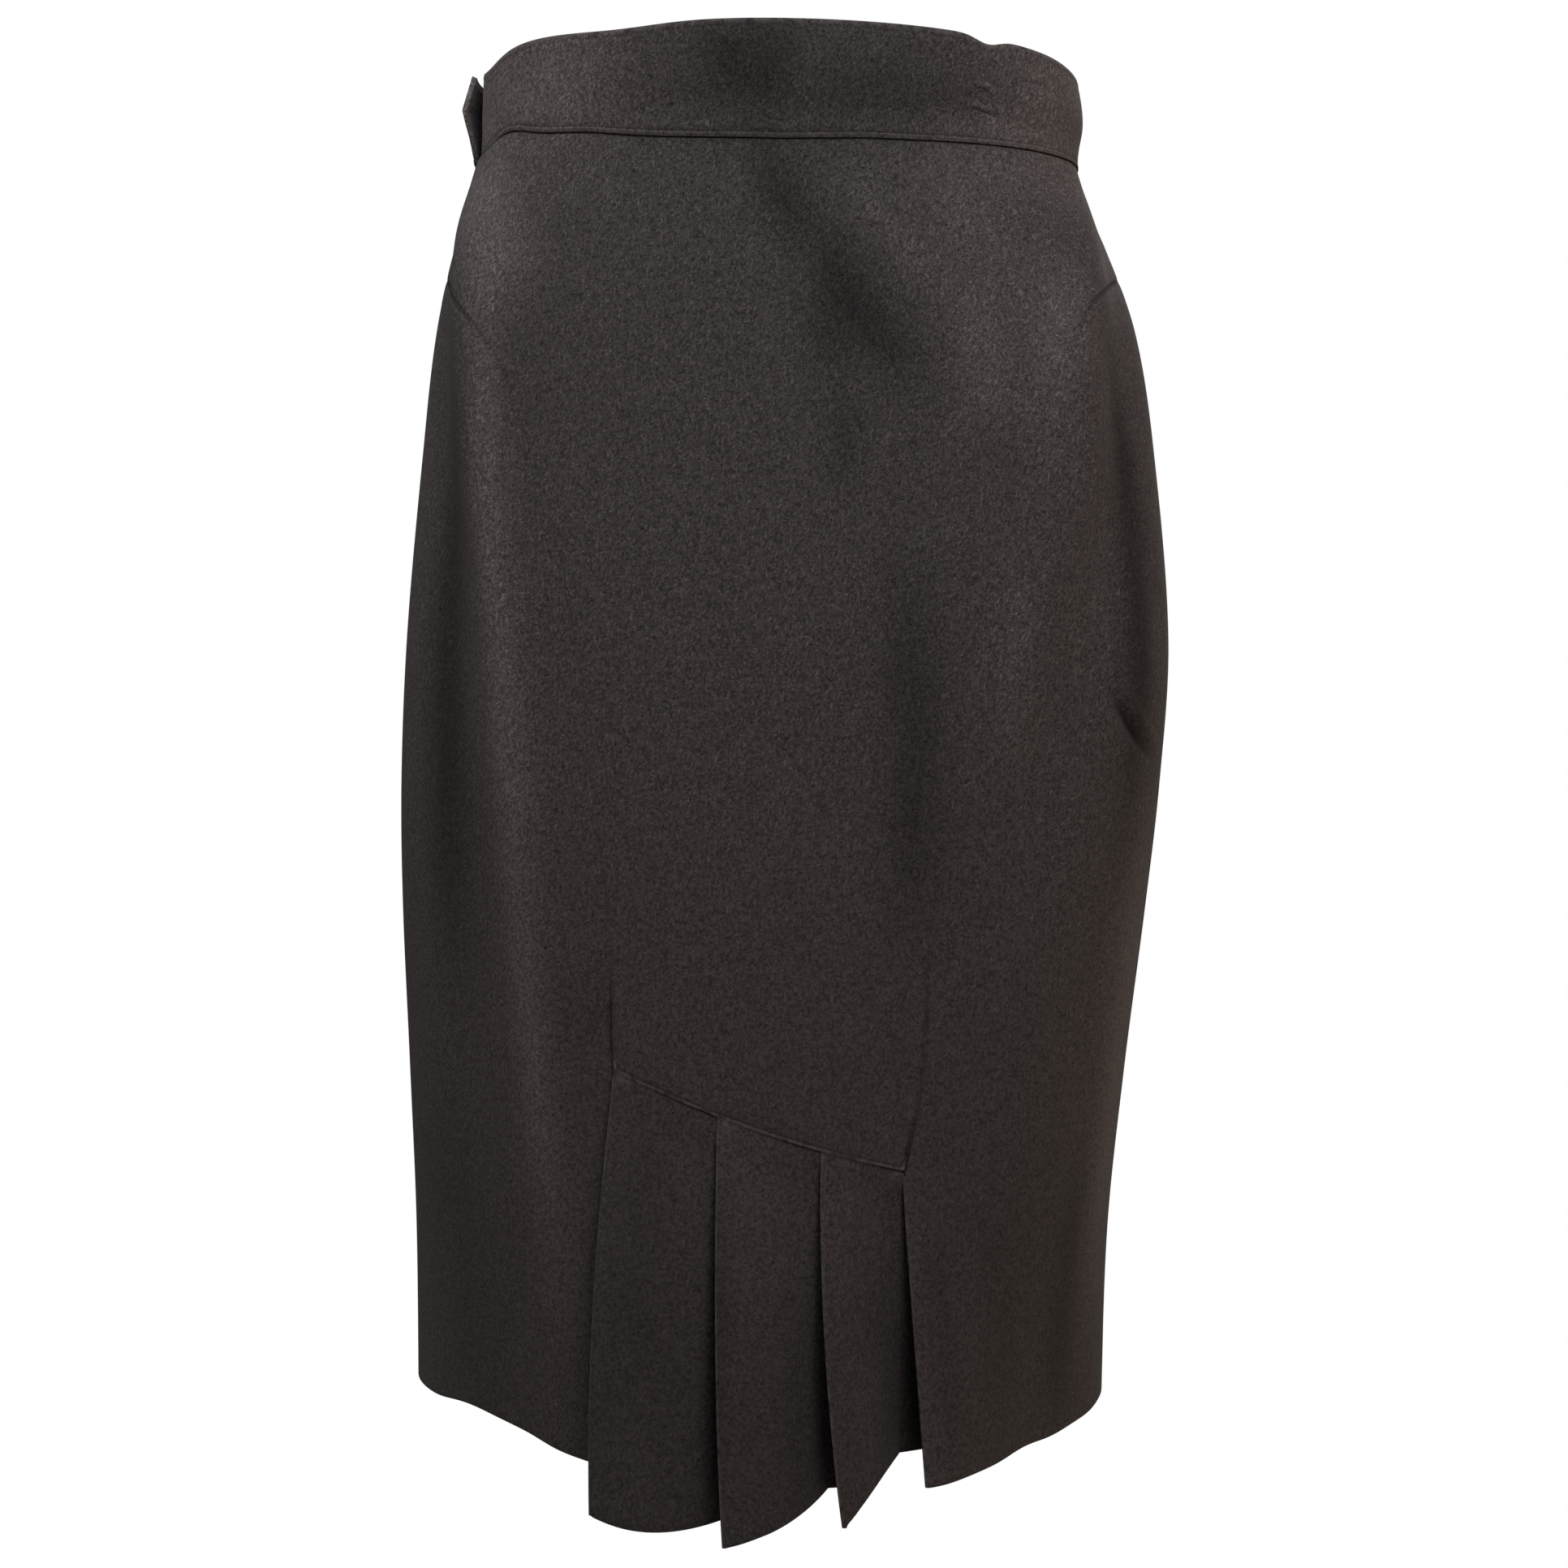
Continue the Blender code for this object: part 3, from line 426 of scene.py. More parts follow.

# %% [markdown]
# ## Painted light and shade, and puckers
# Light and shade that the lamps here don't give are painted into the wool's colour, darker in some broad
# areas and paler in others. Each such area is broad and soft. So it gets a row like those of the creases,
# and the material scales its colour by the sum of the rows. The small puckers in the waistband have a
# table of their own, because they lift the cloth and get painted shading at the same time.

# %% Small puckers and a faint round impression in the waistband
# Columns in degrees and mm, as for the creases, and then how wide and how strong the painted shading of each
# one is
PUCKERS = named_rows(
    "angle z end_angle end_z bow width height nap_width nap",
    (46.2, 22.6, 51.4, 19.6, -1, 0.9, 0.45, 0.9, 0.55),
    (46, 20.5, 51, 17.5, -1, 0.9, -0.45, 0.9, -0.45),
    (45, 14.2, 50.2, 12.2, 0, 0.9, 0.5, 0.9, 0.5),
    (45.6, 11.6, 49.4, 10.4, 0, 0.9, -0.6, 0.8, -0.65),
    (47.8, 10.6, 52.4, 8.8, 0, 0.9, -0.55, 0.8, -0.6),
    (48.8, 8.6, 52.4, 5.8, 0, 0.9, 0.45, 0.9, 0.5),
    (50.2, 14.6, 53.8, 12, 0, 0.9, 0.4, 0.8, 0.45),
    (56.5, 26.2, 65.5, 26.8, -1, 1.1, -0.4, 1, -0.35),
    (55.6, 24.5, 55.8, 12.5, 1, 1.1, -0.4, 1, -0.35),
    (64.6, 26.5, 64.2, 15, -1, 1.1, -0.35, 1, -0.3),
    (56.5, 13.8, 63, 14.6, 1, 1.1, -0.3, 1.1, 0),
)

# %% Where painted shade darkens the wool and painted highlight pales it
# Columns as for the creases. The last one is a share of the cloth's own brightness
PAINTED_SHADING = lines(
    1.0,
    # The waistband: darker in the middle, paler to both sides and inside the tab
    (-20, 27, 6, 21, 0, 21, -0.46),
    (4, 12, 46, 12, 0, 17, -0.28),
    (36, 3, 80, 2, 0, 8, 0.3),
    (-100, 22, -34, 22, 0, 30, 1),
    (50, 22, 94, 22, 0, 26, 0.6),
    (264, 39, 279, 30, 0, 9, 1.1),
    # The lap: the dark diagonal and the pale ridge beside it, and the dark trough below
    (-8, -1, 30, -121, 3, 16, -0.34),
    (-7, -14, 6, -50, 0, 15, -0.14),
    (11, -48, 31, -122, 3, 16, -0.22),
    (7, -78, 15.5, -118, 0, 15, -0.28),
    (15.5, -118, 14.5, -165, 0, 14, -0.24),
    (15, -18, 38, -85, 0, 10, 0.34),
    (38, -75, 46, -135, 0, 17, 0.5),
    (26, -190, 25, -370, -3, 17, -0.39),
    (32, 10, 66, -110, 6, 24, 0.26),
    (62, -50, 52, -150, 4, 13, 0.36),
    (45, -190, 43, -290, 0, 9, 0.2),
    (36, -12, 84, -20, 0, 13, 0.28),
    (74, -10, 72, -130, 0, 6, 0.25),
    # The left fold: pale on its crest, and darker behind it as far as the side
    (-66, -30, -46, -300, -2, 9, 0.55),
    (-50, -230, -38, -520, 2, 11, 0.68),
    (-67, -90, -60, -400, 0, 16, -0.6),
    (-78, -4, -52, -75, 0, 20, 0.8),
    (-66, -440, -52, -620, 0, 30, -0.2),
    # The right side: dark from the hip to the thigh, with the pulled crease, and pale below it
    (71, -70, 67, -330, 0, 12, -0.6),
    (61.5, -252, 74.5, -286, 4, 2.4, -0.5),
    (76, -310, 73, -560, 0, 20, 0.84),
    (63, -470, 59, -600, 0, 13, -0.36),
    (29, -480, 30, -610, 0, 9, -0.2),
    (40, -460, 42, -620, 0, 26, -0.2),
    # The pleats
    (-22, -430, -20, -570, 0, 16, -0.22),
    (17, -540, 17, -610, 0, 12, 0.28),
    (-7.6, -470, -7, -610, 0, 6, -0.26),
    *[(*pucker[:5], pucker.nap_width, pucker.nap) for pucker in PUCKERS],
)

# %% [markdown]
# ## A wall of cloth
# Every cut piece becomes a grid of points, rows from the top and columns from the left. Blender's
# Solidify gives it the cloth's thickness and a Bevel rounds the cut or folded edges, as a real edge of
# thick wool is never sharp. Each piece then hides the solid that it stands for, rides on the root body,
# and prints the size of the flat piece that it was cut from.

# %% Sizes of a wall
EDGE_ROUND, EDGE_ANGLE = 0.14 * MM, math.radians(55)
DIP, DIP_WIDTH = 0.40 * MM, 1.8 * MM  # how far the cloth turns in at a seam, and over what width
ALLOWANCE, ALLOWANCE_ENDS = 0.12 * MM, (9 * MM, 12 * MM)  # what the seam allowance adds, and where it ends
HEM_PAINTED_SHADE = 0.28  # painted shade: the pleats darken by this share towards the hem
BAND_LIP, INSET_LIP = 0.30, 1.0  # how pale the rolled edge is over the seam
Hang = namedtuple("Hang", "held on")
pieces_made = {}


# %% Helpers for a wall
def patch(left, right, top, bottom):
    """A grid of (angle, z) between four edges, rows from the top and columns from the left."""
    u = ((top[:, 0] - top[0, 0]) / (top[-1, 0] - top[0, 0]))[None, :, None]
    v = np.linspace(0.0, 1.0, len(left))[:, None, None]
    corners = mix(mix(top[0], top[-1], u), mix(bottom[0], bottom[-1], u), v)
    return mix(left[:, None], right[:, None], u) + mix(top[None], bottom[None], v) - corners


def keep_number(mesh, name, values):
    """Stores one number for each point of a mesh, for its material to read."""
    numbers = mesh.attributes.new(name, "FLOAT", "POINT")
    numbers.data.foreach_set("value", np.asarray(values, np.float32).ravel())


def longest(points, axis):
    """The longest run along a grid's rows (axis 1) or columns (axis 0), which is the cut's size that way."""
    return round(float(np.linalg.norm(np.diff(points, axis=axis), axis=-1).sum(axis=axis).max()), 3)


def add_to_scene(name, data):
    thing = bpy.data.objects.new(name, data)
    bpy.context.scene.collection.objects.link(thing)
    return thing


# %% Make one wall
def cloth_mesh(name, points, present, numbers):
    """A mesh through a grid of points, its area, and on each point the numbers that the wool reads."""
    rows, columns = points.shape[:2]
    index = np.arange(rows * columns).reshape(rows, columns)
    cells = np.stack([index[:-1, :-1], index[1:, :-1], index[1:, 1:], index[:-1, 1:]], axis=-1).reshape(-1, 4)
    if present is not None:
        cells = cells[present.ravel()[cells].all(axis=1)]
    used, cells = np.unique(cells, return_inverse=True)
    corners, cells = points.reshape(-1, 3)[used], cells.reshape(-1, 4)
    mesh = bpy.data.meshes.new(name)
    mesh.from_pydata(corners.tolist(), [], cells.tolist())
    mesh.shade_smooth()
    for number, values in numbers.items():
        keep_number(mesh, number, np.broadcast_to(values, (rows, columns)).ravel()[used])
    a, b, c, d = (corners[cells[:, k]] for k in range(4))
    return mesh, float(np.linalg.norm(np.cross(c - a, d - b), axis=1).sum() / 2)


def cloth_wall(
    name, angle, z, out, hang, wear=0.0, thickness=CLOTH, edge=EDGE_ROUND, present=None, pressed=0.0, lip=0.0
):
    """A wall of cloth through a grid of places, in the stead of the solid of the same name.

    wear, pressed and lip say where it is rubbed pale with painted highlight on fold edges, darkened by
    painted shade towards the pleats' hem, and rolled over a seam. present says which points of the grid are
    cloth at all.
    """
    angle, z, out = np.broadcast_arrays(angle, z, out)
    distance, shows = nearest_seam(on_cloth(angle, z))
    lifted = ALLOWANCE * (1.0 - smooth_step(*ALLOWANCE_ENDS, distance))
    points = on_cloth(angle, z, out + lifted - DIP * shows * hump(distance, DIP_WIDTH))
    # painted light and shade: the broad areas of the table above, and painted shade towards the pleats' hem
    nap = (1.0 + along_lines(PAINTED_SHADING, angle, z)) * (1.0 - HEM_PAINTED_SHADE * pressed)
    numbers = {"from_seam": distance, "seam_shows": shows, "lip": lip, "wear": wear, "nap": nap}
    mesh, area = cloth_mesh(name + "_cloth", points, present, numbers)
    piece = add_to_scene(name + "_cloth", mesh)
    wall = piece.modifiers.new("thickness", "SOLIDIFY")
    wall.thickness, wall.offset = thickness, 0.0
    rounded = piece.modifiers.new("rounded edges", "BEVEL")
    rounded.width, rounded.segments, rounded.angle_limit = edge, 2, EDGE_ANGLE
    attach(piece, "root")
    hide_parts(name)
    flat, area = (longest(points, 1), longest(points, 0)), round(area, 4)
    share = round(area / flat[0] / flat[1], 2)
    print(name, len(mesh.polygons), "cells, flat", flat, "m, area", area, "or", share, "of that")
    pieces_made[name] = piece
    return piece


# %% [markdown]
# ## The centre panel
# On the real skirt this panel is as wide as the whole pleated side above the hips. Below them its two
# edges curve in to a narrow end over the pleats. It could be cut out of a plain tube with Booleans, but
# that leaves ragged edges. A patch between the four sewn edges follows them with its own rows and
# columns, so the seams come out smooth.

# %% Hang the centre panel
WAIST_ROWS, HIP_ROWS, SEAM_ROWS, FALL_ROWS = 18, 28, 150, 52
CENTRE_COLUMNS, SIDE_COLUMNS = 150, 3 * HIP_ROWS
WAIST_SPREAD = 1.5
LIP_REACH = 4 * MM  # how far above the slanted seam the cloth counts as its rolled edge


def straight(start, end, count, spread=1.0):
    """Points from start to end. With a spread over 1 they are closer at the start."""
    return mix(np.array(start), np.array(end), np.linspace(0.0, 1.0, count + 1)[:, None] ** spread)


def centre_panel():
    sides = []
    for side, start, corner in ((-1, LEFT_SEAM, INSET_LEFT), (1, RIGHT_SEAM, INSET_RIGHT)):
        curved = seam_path(side, corner[1], HIP_ROWS, SEAM_ROWS)
        waist = (start, float(waist_seam(start)) - HALF_GAP)
        upper = straight(waist, curved[0], WAIST_ROWS, WAIST_SPREAD)[:-1]
        sides.append(moved_aside(np.concatenate([upper, curved]), side * HALF_GAP))
    left, right = sides
    angles = np.linspace(left[0, 0], right[0, 0], CENTRE_COLUMNS)
    top = np.stack([angles, waist_seam(angles) - HALF_GAP], axis=1)
    top[0], top[-1] = left[0], right[0]
    low = mix(left[-1, 0], right[-1, 0], (angles - angles[0]) / (angles[-1] - angles[0]))
    bottom = np.stack([low, inset_seam(low) + HALF_GAP], axis=1)
    bottom[0], bottom[-1] = left[-1], right[-1]
    angle, z = np.moveaxis(patch(left, right, top, bottom), 2, 0)
    lip = INSET_LIP * (z < inset_seam(angle) + LIP_REACH)
    return cloth_wall("centre_panel", angle, z, 0.0, Hang("hung", "waistband"), lip=lip)


centre_panel()

# %% [markdown]
# ## Pleats
# A knife pleat is one strip folded to and fro: out over a pressed fold, across a flat face, and back
# under the next fold. Three of them hang from the slanted seam, and towards the hem they spring open
# because the strip is wider than the space that it fills. Each fold is a half round of one layer's
# width. How far it stands out at the hem is what makes the hem step in and out, so each pleat has its
# own row. The fold of the right side panel closes the last pleat.

# %% Sizes of the pleats
# Each row: the fold's angle at the seam and at the hem, how far it stands out at the hem and its z there, the
# same two for the far end of its face, and how the face swells out, bends, bows and waves its hem
Pleat = namedtuple("Pleat", "seam_angle hem_angle stand hem_z end_stand end_z swell bend bow wave")
PLEATS = (
    Pleat(-27.7, -24.9, 0.031, -0.612, 0.016, -0.6125, 0.006, 3.0, -1.8, 2.6 * MM),
    Pleat(-8.9, -4.8, 0.043, -0.6155, 0.006, -0.6045, 0.003, 1.25, -0.7, -0.8 * MM),
    Pleat(9.6, 10.3, 0.034, -0.611, -0.004, -0.5955, 0.000, 1.0, -0.7, -3.0 * MM),
)
LastFold = namedtuple("LastFold", "seam_angle hem_angle stand reach bow")
LAST_FOLD = LastFold(24.3, 24.7, 0.021, 30.0, 0.3)
LEFT_EDGE_STAND, LEFT_EDGE_REACH = 0.010, 20.0
DIP_HEIGHTS, DIP_REACH = (-0.370, -0.420), (1.0, 14.0)  # where the left panel dips under the first pleat
UNDERLAP = 8.0  # degrees of cloth under the next fold
END_CLEAR = 0.003
FACE_SINKS = (0.1, 0.96)  # over these shares of its width, a face sinks by two layers
PLEAT_RADIUS = 0.145
SPREAD = 1.25  # power of the fall at which the folds open
TIP = math.degrees(0.5 * LAYER / PLEAT_RADIUS)  # half a layer, as an angle
SEWN_FLAT, SEWN_REACH = 0.30, 0.12  # the seam holds the layers this flat, down to this share of the fall
HEM_SHADE_FALL = (0.1, 0.8)  # the shares of the fall over which painted shade darkens the pleats towards the hem
HALF_ROUND = np.radians(np.linspace(0.0, 180.0, 9))


# %% The zigzag of the strip, from left to right
Column = namedtuple("Column", "seam_angle hem_angle layer stand low bow wear")


def hidden_return(pleat, step, last_end):
    """A column between the inner fold and the outer one, under the neighbour to the left."""
    shift = mix(TIP, UNDERLAP - TIP, step)
    stand, low = mix(pleat.stand, last_end[0], step), mix(pleat.hem_z, last_end[1], step)
    return Column(pleat.seam_angle + shift, pleat.hem_angle + shift, -1.0, stand, low, pleat.bow, 0.0)


def outer_fold(pleat, turn):
    """A column round the pressed fold, from its hidden side at half a turn to its face at none."""
    shift = (1.0 - math.sin(turn)) * TIP
    layer = -0.5 * (1.0 - math.cos(turn))
    # paler along the fold's edge: wear, with painted highlight where the edge catches light
    wear = math.sin(turn) ** 2
    places = (pleat.seam_angle + shift, pleat.hem_angle + shift)
    return Column(*places, layer, pleat.stand, pleat.hem_z, pleat.bow, wear)


def pleat_face(pleat, following, step):
    """A column of the face that shows, and of its end under the next fold where step is over 1."""
    seen = min(step, 1.0)
    sunk = seen**pleat.bend
    stand = mix(pleat.stand, pleat.end_stand, sunk) + pleat.swell * math.sin(math.pi * seen)
    beyond = max(0.0, step - 1.0) * (UNDERLAP - TIP)
    at_seam = mix(pleat.seam_angle, following.seam_angle, seen) + beyond
    at_hem = mix(pleat.hem_angle, following.hem_angle, seen) + beyond
    layer = -2.0 * float(smooth_step(*FACE_SINKS, step))
    low = mix(pleat.hem_z, pleat.end_z, sunk) - pleat.wave * math.sin(math.pi * seen)
    return Column(at_seam, at_hem, layer, stand, low, mix(pleat.bow, following.bow, seen), 0.0)


def inner_fold(pleat, following, turn):
    """A column round the inner fold, out of sight under the next pleat."""
    shift = UNDERLAP - TIP + math.sin(turn) * TIP
    layer = -2.0 + 0.5 * (1.0 - math.cos(turn))
    places = (following.seam_angle + shift, following.hem_angle + shift)
    return Column(*places, layer, pleat.end_stand, pleat.end_z, following.bow, 0.0)


# %% Hang the pleats
RETURN_STEPS = np.linspace(1.0, 0.15, 7)
FACE_STEPS = (*np.linspace(0.04, 1.0, 24), 1.2, 1.5, 1.8, 2.0)  # over 1, under the next fold
FALL_SPREAD = 1.2  # over 1, the rows are closer under the slanted seam
# Pale rubbed spots under the slanted seam, and their half width and half height
WORN = named_rows("angle z wear", (-7.6, -0.4445, 0.9), (22.8, -0.4690, 0.8), (-26.4, -0.4275, 0.6))
SPOT_WIDE, SPOT_HIGH = 1.1, 2 * MM


def strip_columns():
    """The zigzag of the whole strip: for each pleat its hidden return, outer fold, face and inner fold."""
    columns = []
    last_end = (END_CLEAR, float(hem(PLEATS[0].hem_angle)))
    for pleat, following in zip(PLEATS, [*PLEATS[1:], LAST_FOLD]):
        columns += [hidden_return(pleat, step, last_end) for step in RETURN_STEPS]
        columns += [outer_fold(pleat, turn) for turn in HALF_ROUND[::-1]]
        columns += [pleat_face(pleat, following, step) for step in FACE_STEPS]
        last_end = (pleat.end_stand, pleat.end_z)
        if following is not LAST_FOLD:
            columns += [inner_fold(pleat, following, turn) for turn in HALF_ROUND[1:-1]]
    return columns


def pleat_inset():
    columns = np.array(strip_columns()).T
    seam_angle, hem_angle, layer, stand, low, bow, wear = columns
    share = np.linspace(0.0, 1.0, FALL_ROWS + 1)[:, None] ** FALL_SPREAD
    angle = mix(seam_angle, hem_angle, share) + bow * arc_bow(share)
    z = mix(inset_seam(seam_angle) - HALF_GAP, low, share)
    flattened = mix(SEWN_FLAT, 1.0, smooth_step(0.0, SEWN_REACH, share))
    out = layer * LAYER * flattened + stand * share**SPREAD
    spots = [spot.wear * hump(angle - spot.angle, SPOT_WIDE) * hump(z - spot.z, SPOT_HIGH) for spot in WORN]
    # painted shade: the pleats get darker towards the hem
    wear, pressed = np.maximum(wear, sum(spots)), smooth_step(*HEM_SHADE_FALL, share)
    return cloth_wall("pleat_inset", angle, z, out, Hang("hung", "centre_panel"), wear, pressed=pressed)


pleat_inset()

# %% [markdown]
# ## Side panels
# Each side panel hangs from the curved seam over the hip. Its inner edge meets the pleats: the left
# panel ends flat and runs on under the first pleat, and the right one is pressed back on itself, like
# one more pleat. The same patch as before makes both, and some more columns go on at that edge.

# %% The columns that go on at the inner edges
MORE_STEPS = np.linspace(0.0, 1.0, 6)[1:]  # shares of the hidden cloth beyond the edge


def under_pleat(angle, z, share):
    """The left panel's columns: it dips under the first pleat and runs on below it."""
    away = angle[:, -1:] - angle
    sunk = smooth_step(*DIP_HEIGHTS, z) * (1.0 - smooth_step(*DIP_REACH, away))
    stand = LEFT_EDGE_STAND * share**SPREAD * (1.0 - smooth_step(0.0, LEFT_EDGE_REACH, away))
    more_angle = angle[:, -1:] + MORE_STEPS * UNDERLAP
    more_out = LEFT_EDGE_STAND * share**SPREAD * (1.0 - MORE_STEPS) - 2.0 * LAYER
    more_z = np.broadcast_to(z[:, -1:], more_angle.shape)
    out = np.concatenate([stand - 2.0 * LAYER * sunk, more_out], axis=1)
    return np.concatenate([angle, more_angle], axis=1), np.concatenate([z, more_z], axis=1), out, 0.0


def folded_back(angle, z, share):
    """The right panel's columns: it turns round a pressed fold and back under itself."""
    opened = share**SPREAD
    away = angle - angle[:, -1:]
    out = LAST_FOLD.stand * opened * (1.0 - smooth_step(0.0, LAST_FOLD.reach, away))
    turns = HALF_ROUND[1:]
    round_angle = angle[:, -1:] + (1.0 - np.sin(turns)) * TIP
    round_out = LAST_FOLD.stand * opened - 0.5 * (1.0 - np.cos(turns)) * LAYER
    back_angle = angle[:, -1:] + mix(TIP, UNDERLAP, MORE_STEPS)
    back_out = mix(LAST_FOLD.stand, PLEATS[-1].end_stand + END_CLEAR, MORE_STEPS) * opened - LAYER
    # paler along the fold's edge: wear, with painted highlight where the edge catches light
    wear = np.concatenate([np.zeros(angle.shape[1]), np.sin(turns) ** 2, np.zeros(len(MORE_STEPS))])
    more_z = np.broadcast_to(z[:, -1:], (len(z), len(turns) + len(MORE_STEPS)))
    angle = angle.copy()
    angle[:, -1] += np.where(share[:, 0] > 0.0, TIP, 0.0)
    angle = np.concatenate([angle, round_angle, back_angle], axis=1)
    out = np.concatenate([out, round_out, back_out], axis=1)
    wear = np.broadcast_to(wear, angle.shape) * (share > 0.0)
    return angle, np.concatenate([z, more_z], axis=1), out, wear


# %% Hang the side panels
def side_panel(side):
    corner, fold = (INSET_LEFT, PLEATS[0]) if side < 0 else (INSET_RIGHT, LAST_FOLD)
    side_angle = (LEFT_SEAM if side < 0 else RIGHT_SEAM) - side * math.degrees(HALF_GAP / MEAN_RADIUS)
    seam = seam_path(side, corner[1], SIDE_COLUMNS, SEAM_ROWS)
    fall = np.linspace(0.0, 1.0, FALL_ROWS + 1)[1:, None]
    below = mix(seam[-1], np.array((fold.hem_angle, float(hem(fold.hem_angle)))), fall)
    below[:, 0] += fold.bow * arc_bow(fall[:, 0])
    inner = moved_aside(seam, HALF_GAP * -side)
    top = inner[: SIDE_COLUMNS + 1].copy()
    top[0, 0] = side_angle
    inner = np.concatenate([inner[SIDE_COLUMNS:], below])
    outer = straight(top[0], (side_angle, float(hem(side_angle))), len(inner) - 1)
    low = mix(outer[-1, 0], inner[-1, 0], (top[:, 0] - top[0, 0]) / (top[-1, 0] - top[0, 0]))
    grid = patch(outer, inner, top, np.stack([low, hem(low)], axis=1))
    share = np.concatenate([np.zeros(SEAM_ROWS + 1), fall[:, 0]])[:, None]
    widen = under_pleat if side < 0 else folded_back
    angle, z, out, wear = widen(grid[..., 0], grid[..., 1], share)
    present = np.ones(angle.shape, bool)
    present[: SEAM_ROWS + 1, grid.shape[1] :] = False
    name = "side_panel_left" if side < 0 else "side_panel_right"
    ordered = [np.broadcast_to(a, angle.shape)[:, ::-side] for a in (angle, z, out, wear, present)]
    return cloth_wall(name, *ordered[:3], Hang("hung", "centre_panel"), ordered[3], present=ordered[4])


for side in (-1, 1):
    side_panel(side)

# %% [markdown]
# ## Back panels
# Nothing of the back shows in the picture that the skirt is rebuilt from, so it is finished plainly:
# two panels with a seam down the middle, as a skirt of this kind needs for its shape. They get creases
# of the same kinds as the seen side, across the seat and down the thighs.

# %% Hang the back panels
BACK_COLUMNS, BACK_ROWS, BACK_SPREAD = 84, 180, 1.2


def back_panel(side):
    gap = side * math.degrees(HALF_GAP / MEAN_RADIUS)
    start = (LEFT_SEAM if side < 0 else RIGHT_SEAM) + gap
    end = BACK_SEAM * side - gap
    angle = np.linspace(start, end, BACK_COLUMNS)[::side]
    share = np.linspace(0.0, 1.0, BACK_ROWS)[:, None] ** BACK_SPREAD
    z = mix(-HALF_GAP, hem(angle), share)
    name = "back_panel_left" if side < 0 else "back_panel_right"
    angle = np.broadcast_to(angle, z.shape)
    return cloth_wall(name, angle, z, 0.0, Hang("hung", "waistband"))


for side in (-1, 1):
    back_panel(side)

# %% [markdown]
# ## Waistband
# The real band is a strip folded lengthwise round a stiffener, so both its edges are soft folds. At its
# lower edge the cloth rolls into a thin lip over a dark groove, and 3 mm below the upper edge the
# pressed fold leaves a faint line. It starts under its own end at the left side and closes with a tab.
# The lip and the lines are rows of a small table, which a grid follows all the way round.

# %% Sizes of the waistband
BAND_SAGS = named_rows(
    "angle width depth",
    (-102.0, 10.0, 3.4 * MM),
    (-76.0, 9.5, 5.0 * MM),
    (-38.0, 14.0, 2.0 * MM),
    (49.5, 4.0, 3.2 * MM),
    (58.0, 10.0, 0.8 * MM),
    (80.0, 13.0, 2.8 * MM),
    (100.0, 14.0, 3.0 * MM),
    (150.0, 30.0, 1.0 * MM),
    (270.0, 12.0, 3.8 * MM),
)
BAND_START, BAND_END, BAND_OUT = -107.0, 275.0, 0.6 * MM
BAND_EDGE = 0.7 * MM
# Columns are closest from 44 to 66 degrees, where the puckers are
BAND_COLUMNS, COLUMN_SHARES, COLUMN_ANGLES = 470, (0.0, 0.30, 0.56, 1.0), (BAND_START, 44.0, 66.0, BAND_END)
MIDDLE_ROWS = 54
TAB_FREE, TAB_CURL = 18.0, 2.2  # degrees of the tab that stand free, and how suddenly they curl
TAB_HEIGHTS, TAB_FLARES = (0.0, 0.61, 1.0), (0.4 * MM, 7.2 * MM, 2.9 * MM)
PRESSED_REACH = (-86.0, -62.0)  # the pressed-in start comes out to the outline between these angles
RUBBED_REACH = 3 * MM  # the upper edge is rubbed paler over this height
BAND_LOW_ROLLS = named_rows(
    "up out",
    (0.0, 0.0),
    (0.4 * MM, 0.24 * MM),
    (0.8 * MM, 0.26 * MM),
    (1.2 * MM, 0.04 * MM),
    (1.6 * MM, -0.24 * MM),
    (2.4 * MM, -0.12 * MM),
    (4.6 * MM, 0.0),
)
BAND_HIGH_ROLLS = named_rows(
    "down out",
    (4.6 * MM, 0.0),
    (3.6 * MM, -0.06 * MM),
    (3.0 * MM, -0.20 * MM),
    (2.3 * MM, -0.02 * MM),
    (1.2 * MM, 0.05 * MM),
    (0.0, -0.15 * MM),
)
# The wide dents of a worn band, and its puckers. Columns as for the creases
BAND_DENTS = lines(
    MM,
    *[pucker[:7] for pucker in PUCKERS],
    (64, 28, 96, 26, 0, 11, 0.4),
    (-70, 34, -52, 12, 0, 5, -0.45),
    (-22, 30, -6, 18, 0, 6, -0.35),
    (18, 12, 34, 30, 0, 7, -0.4),
    (120, 30, 138, 14, 0, 6, -0.4),
    (205, 14, 224, 32, 0, 6, -0.4),
    (165, 12, 176, 28, 0, 5, -0.35),
)


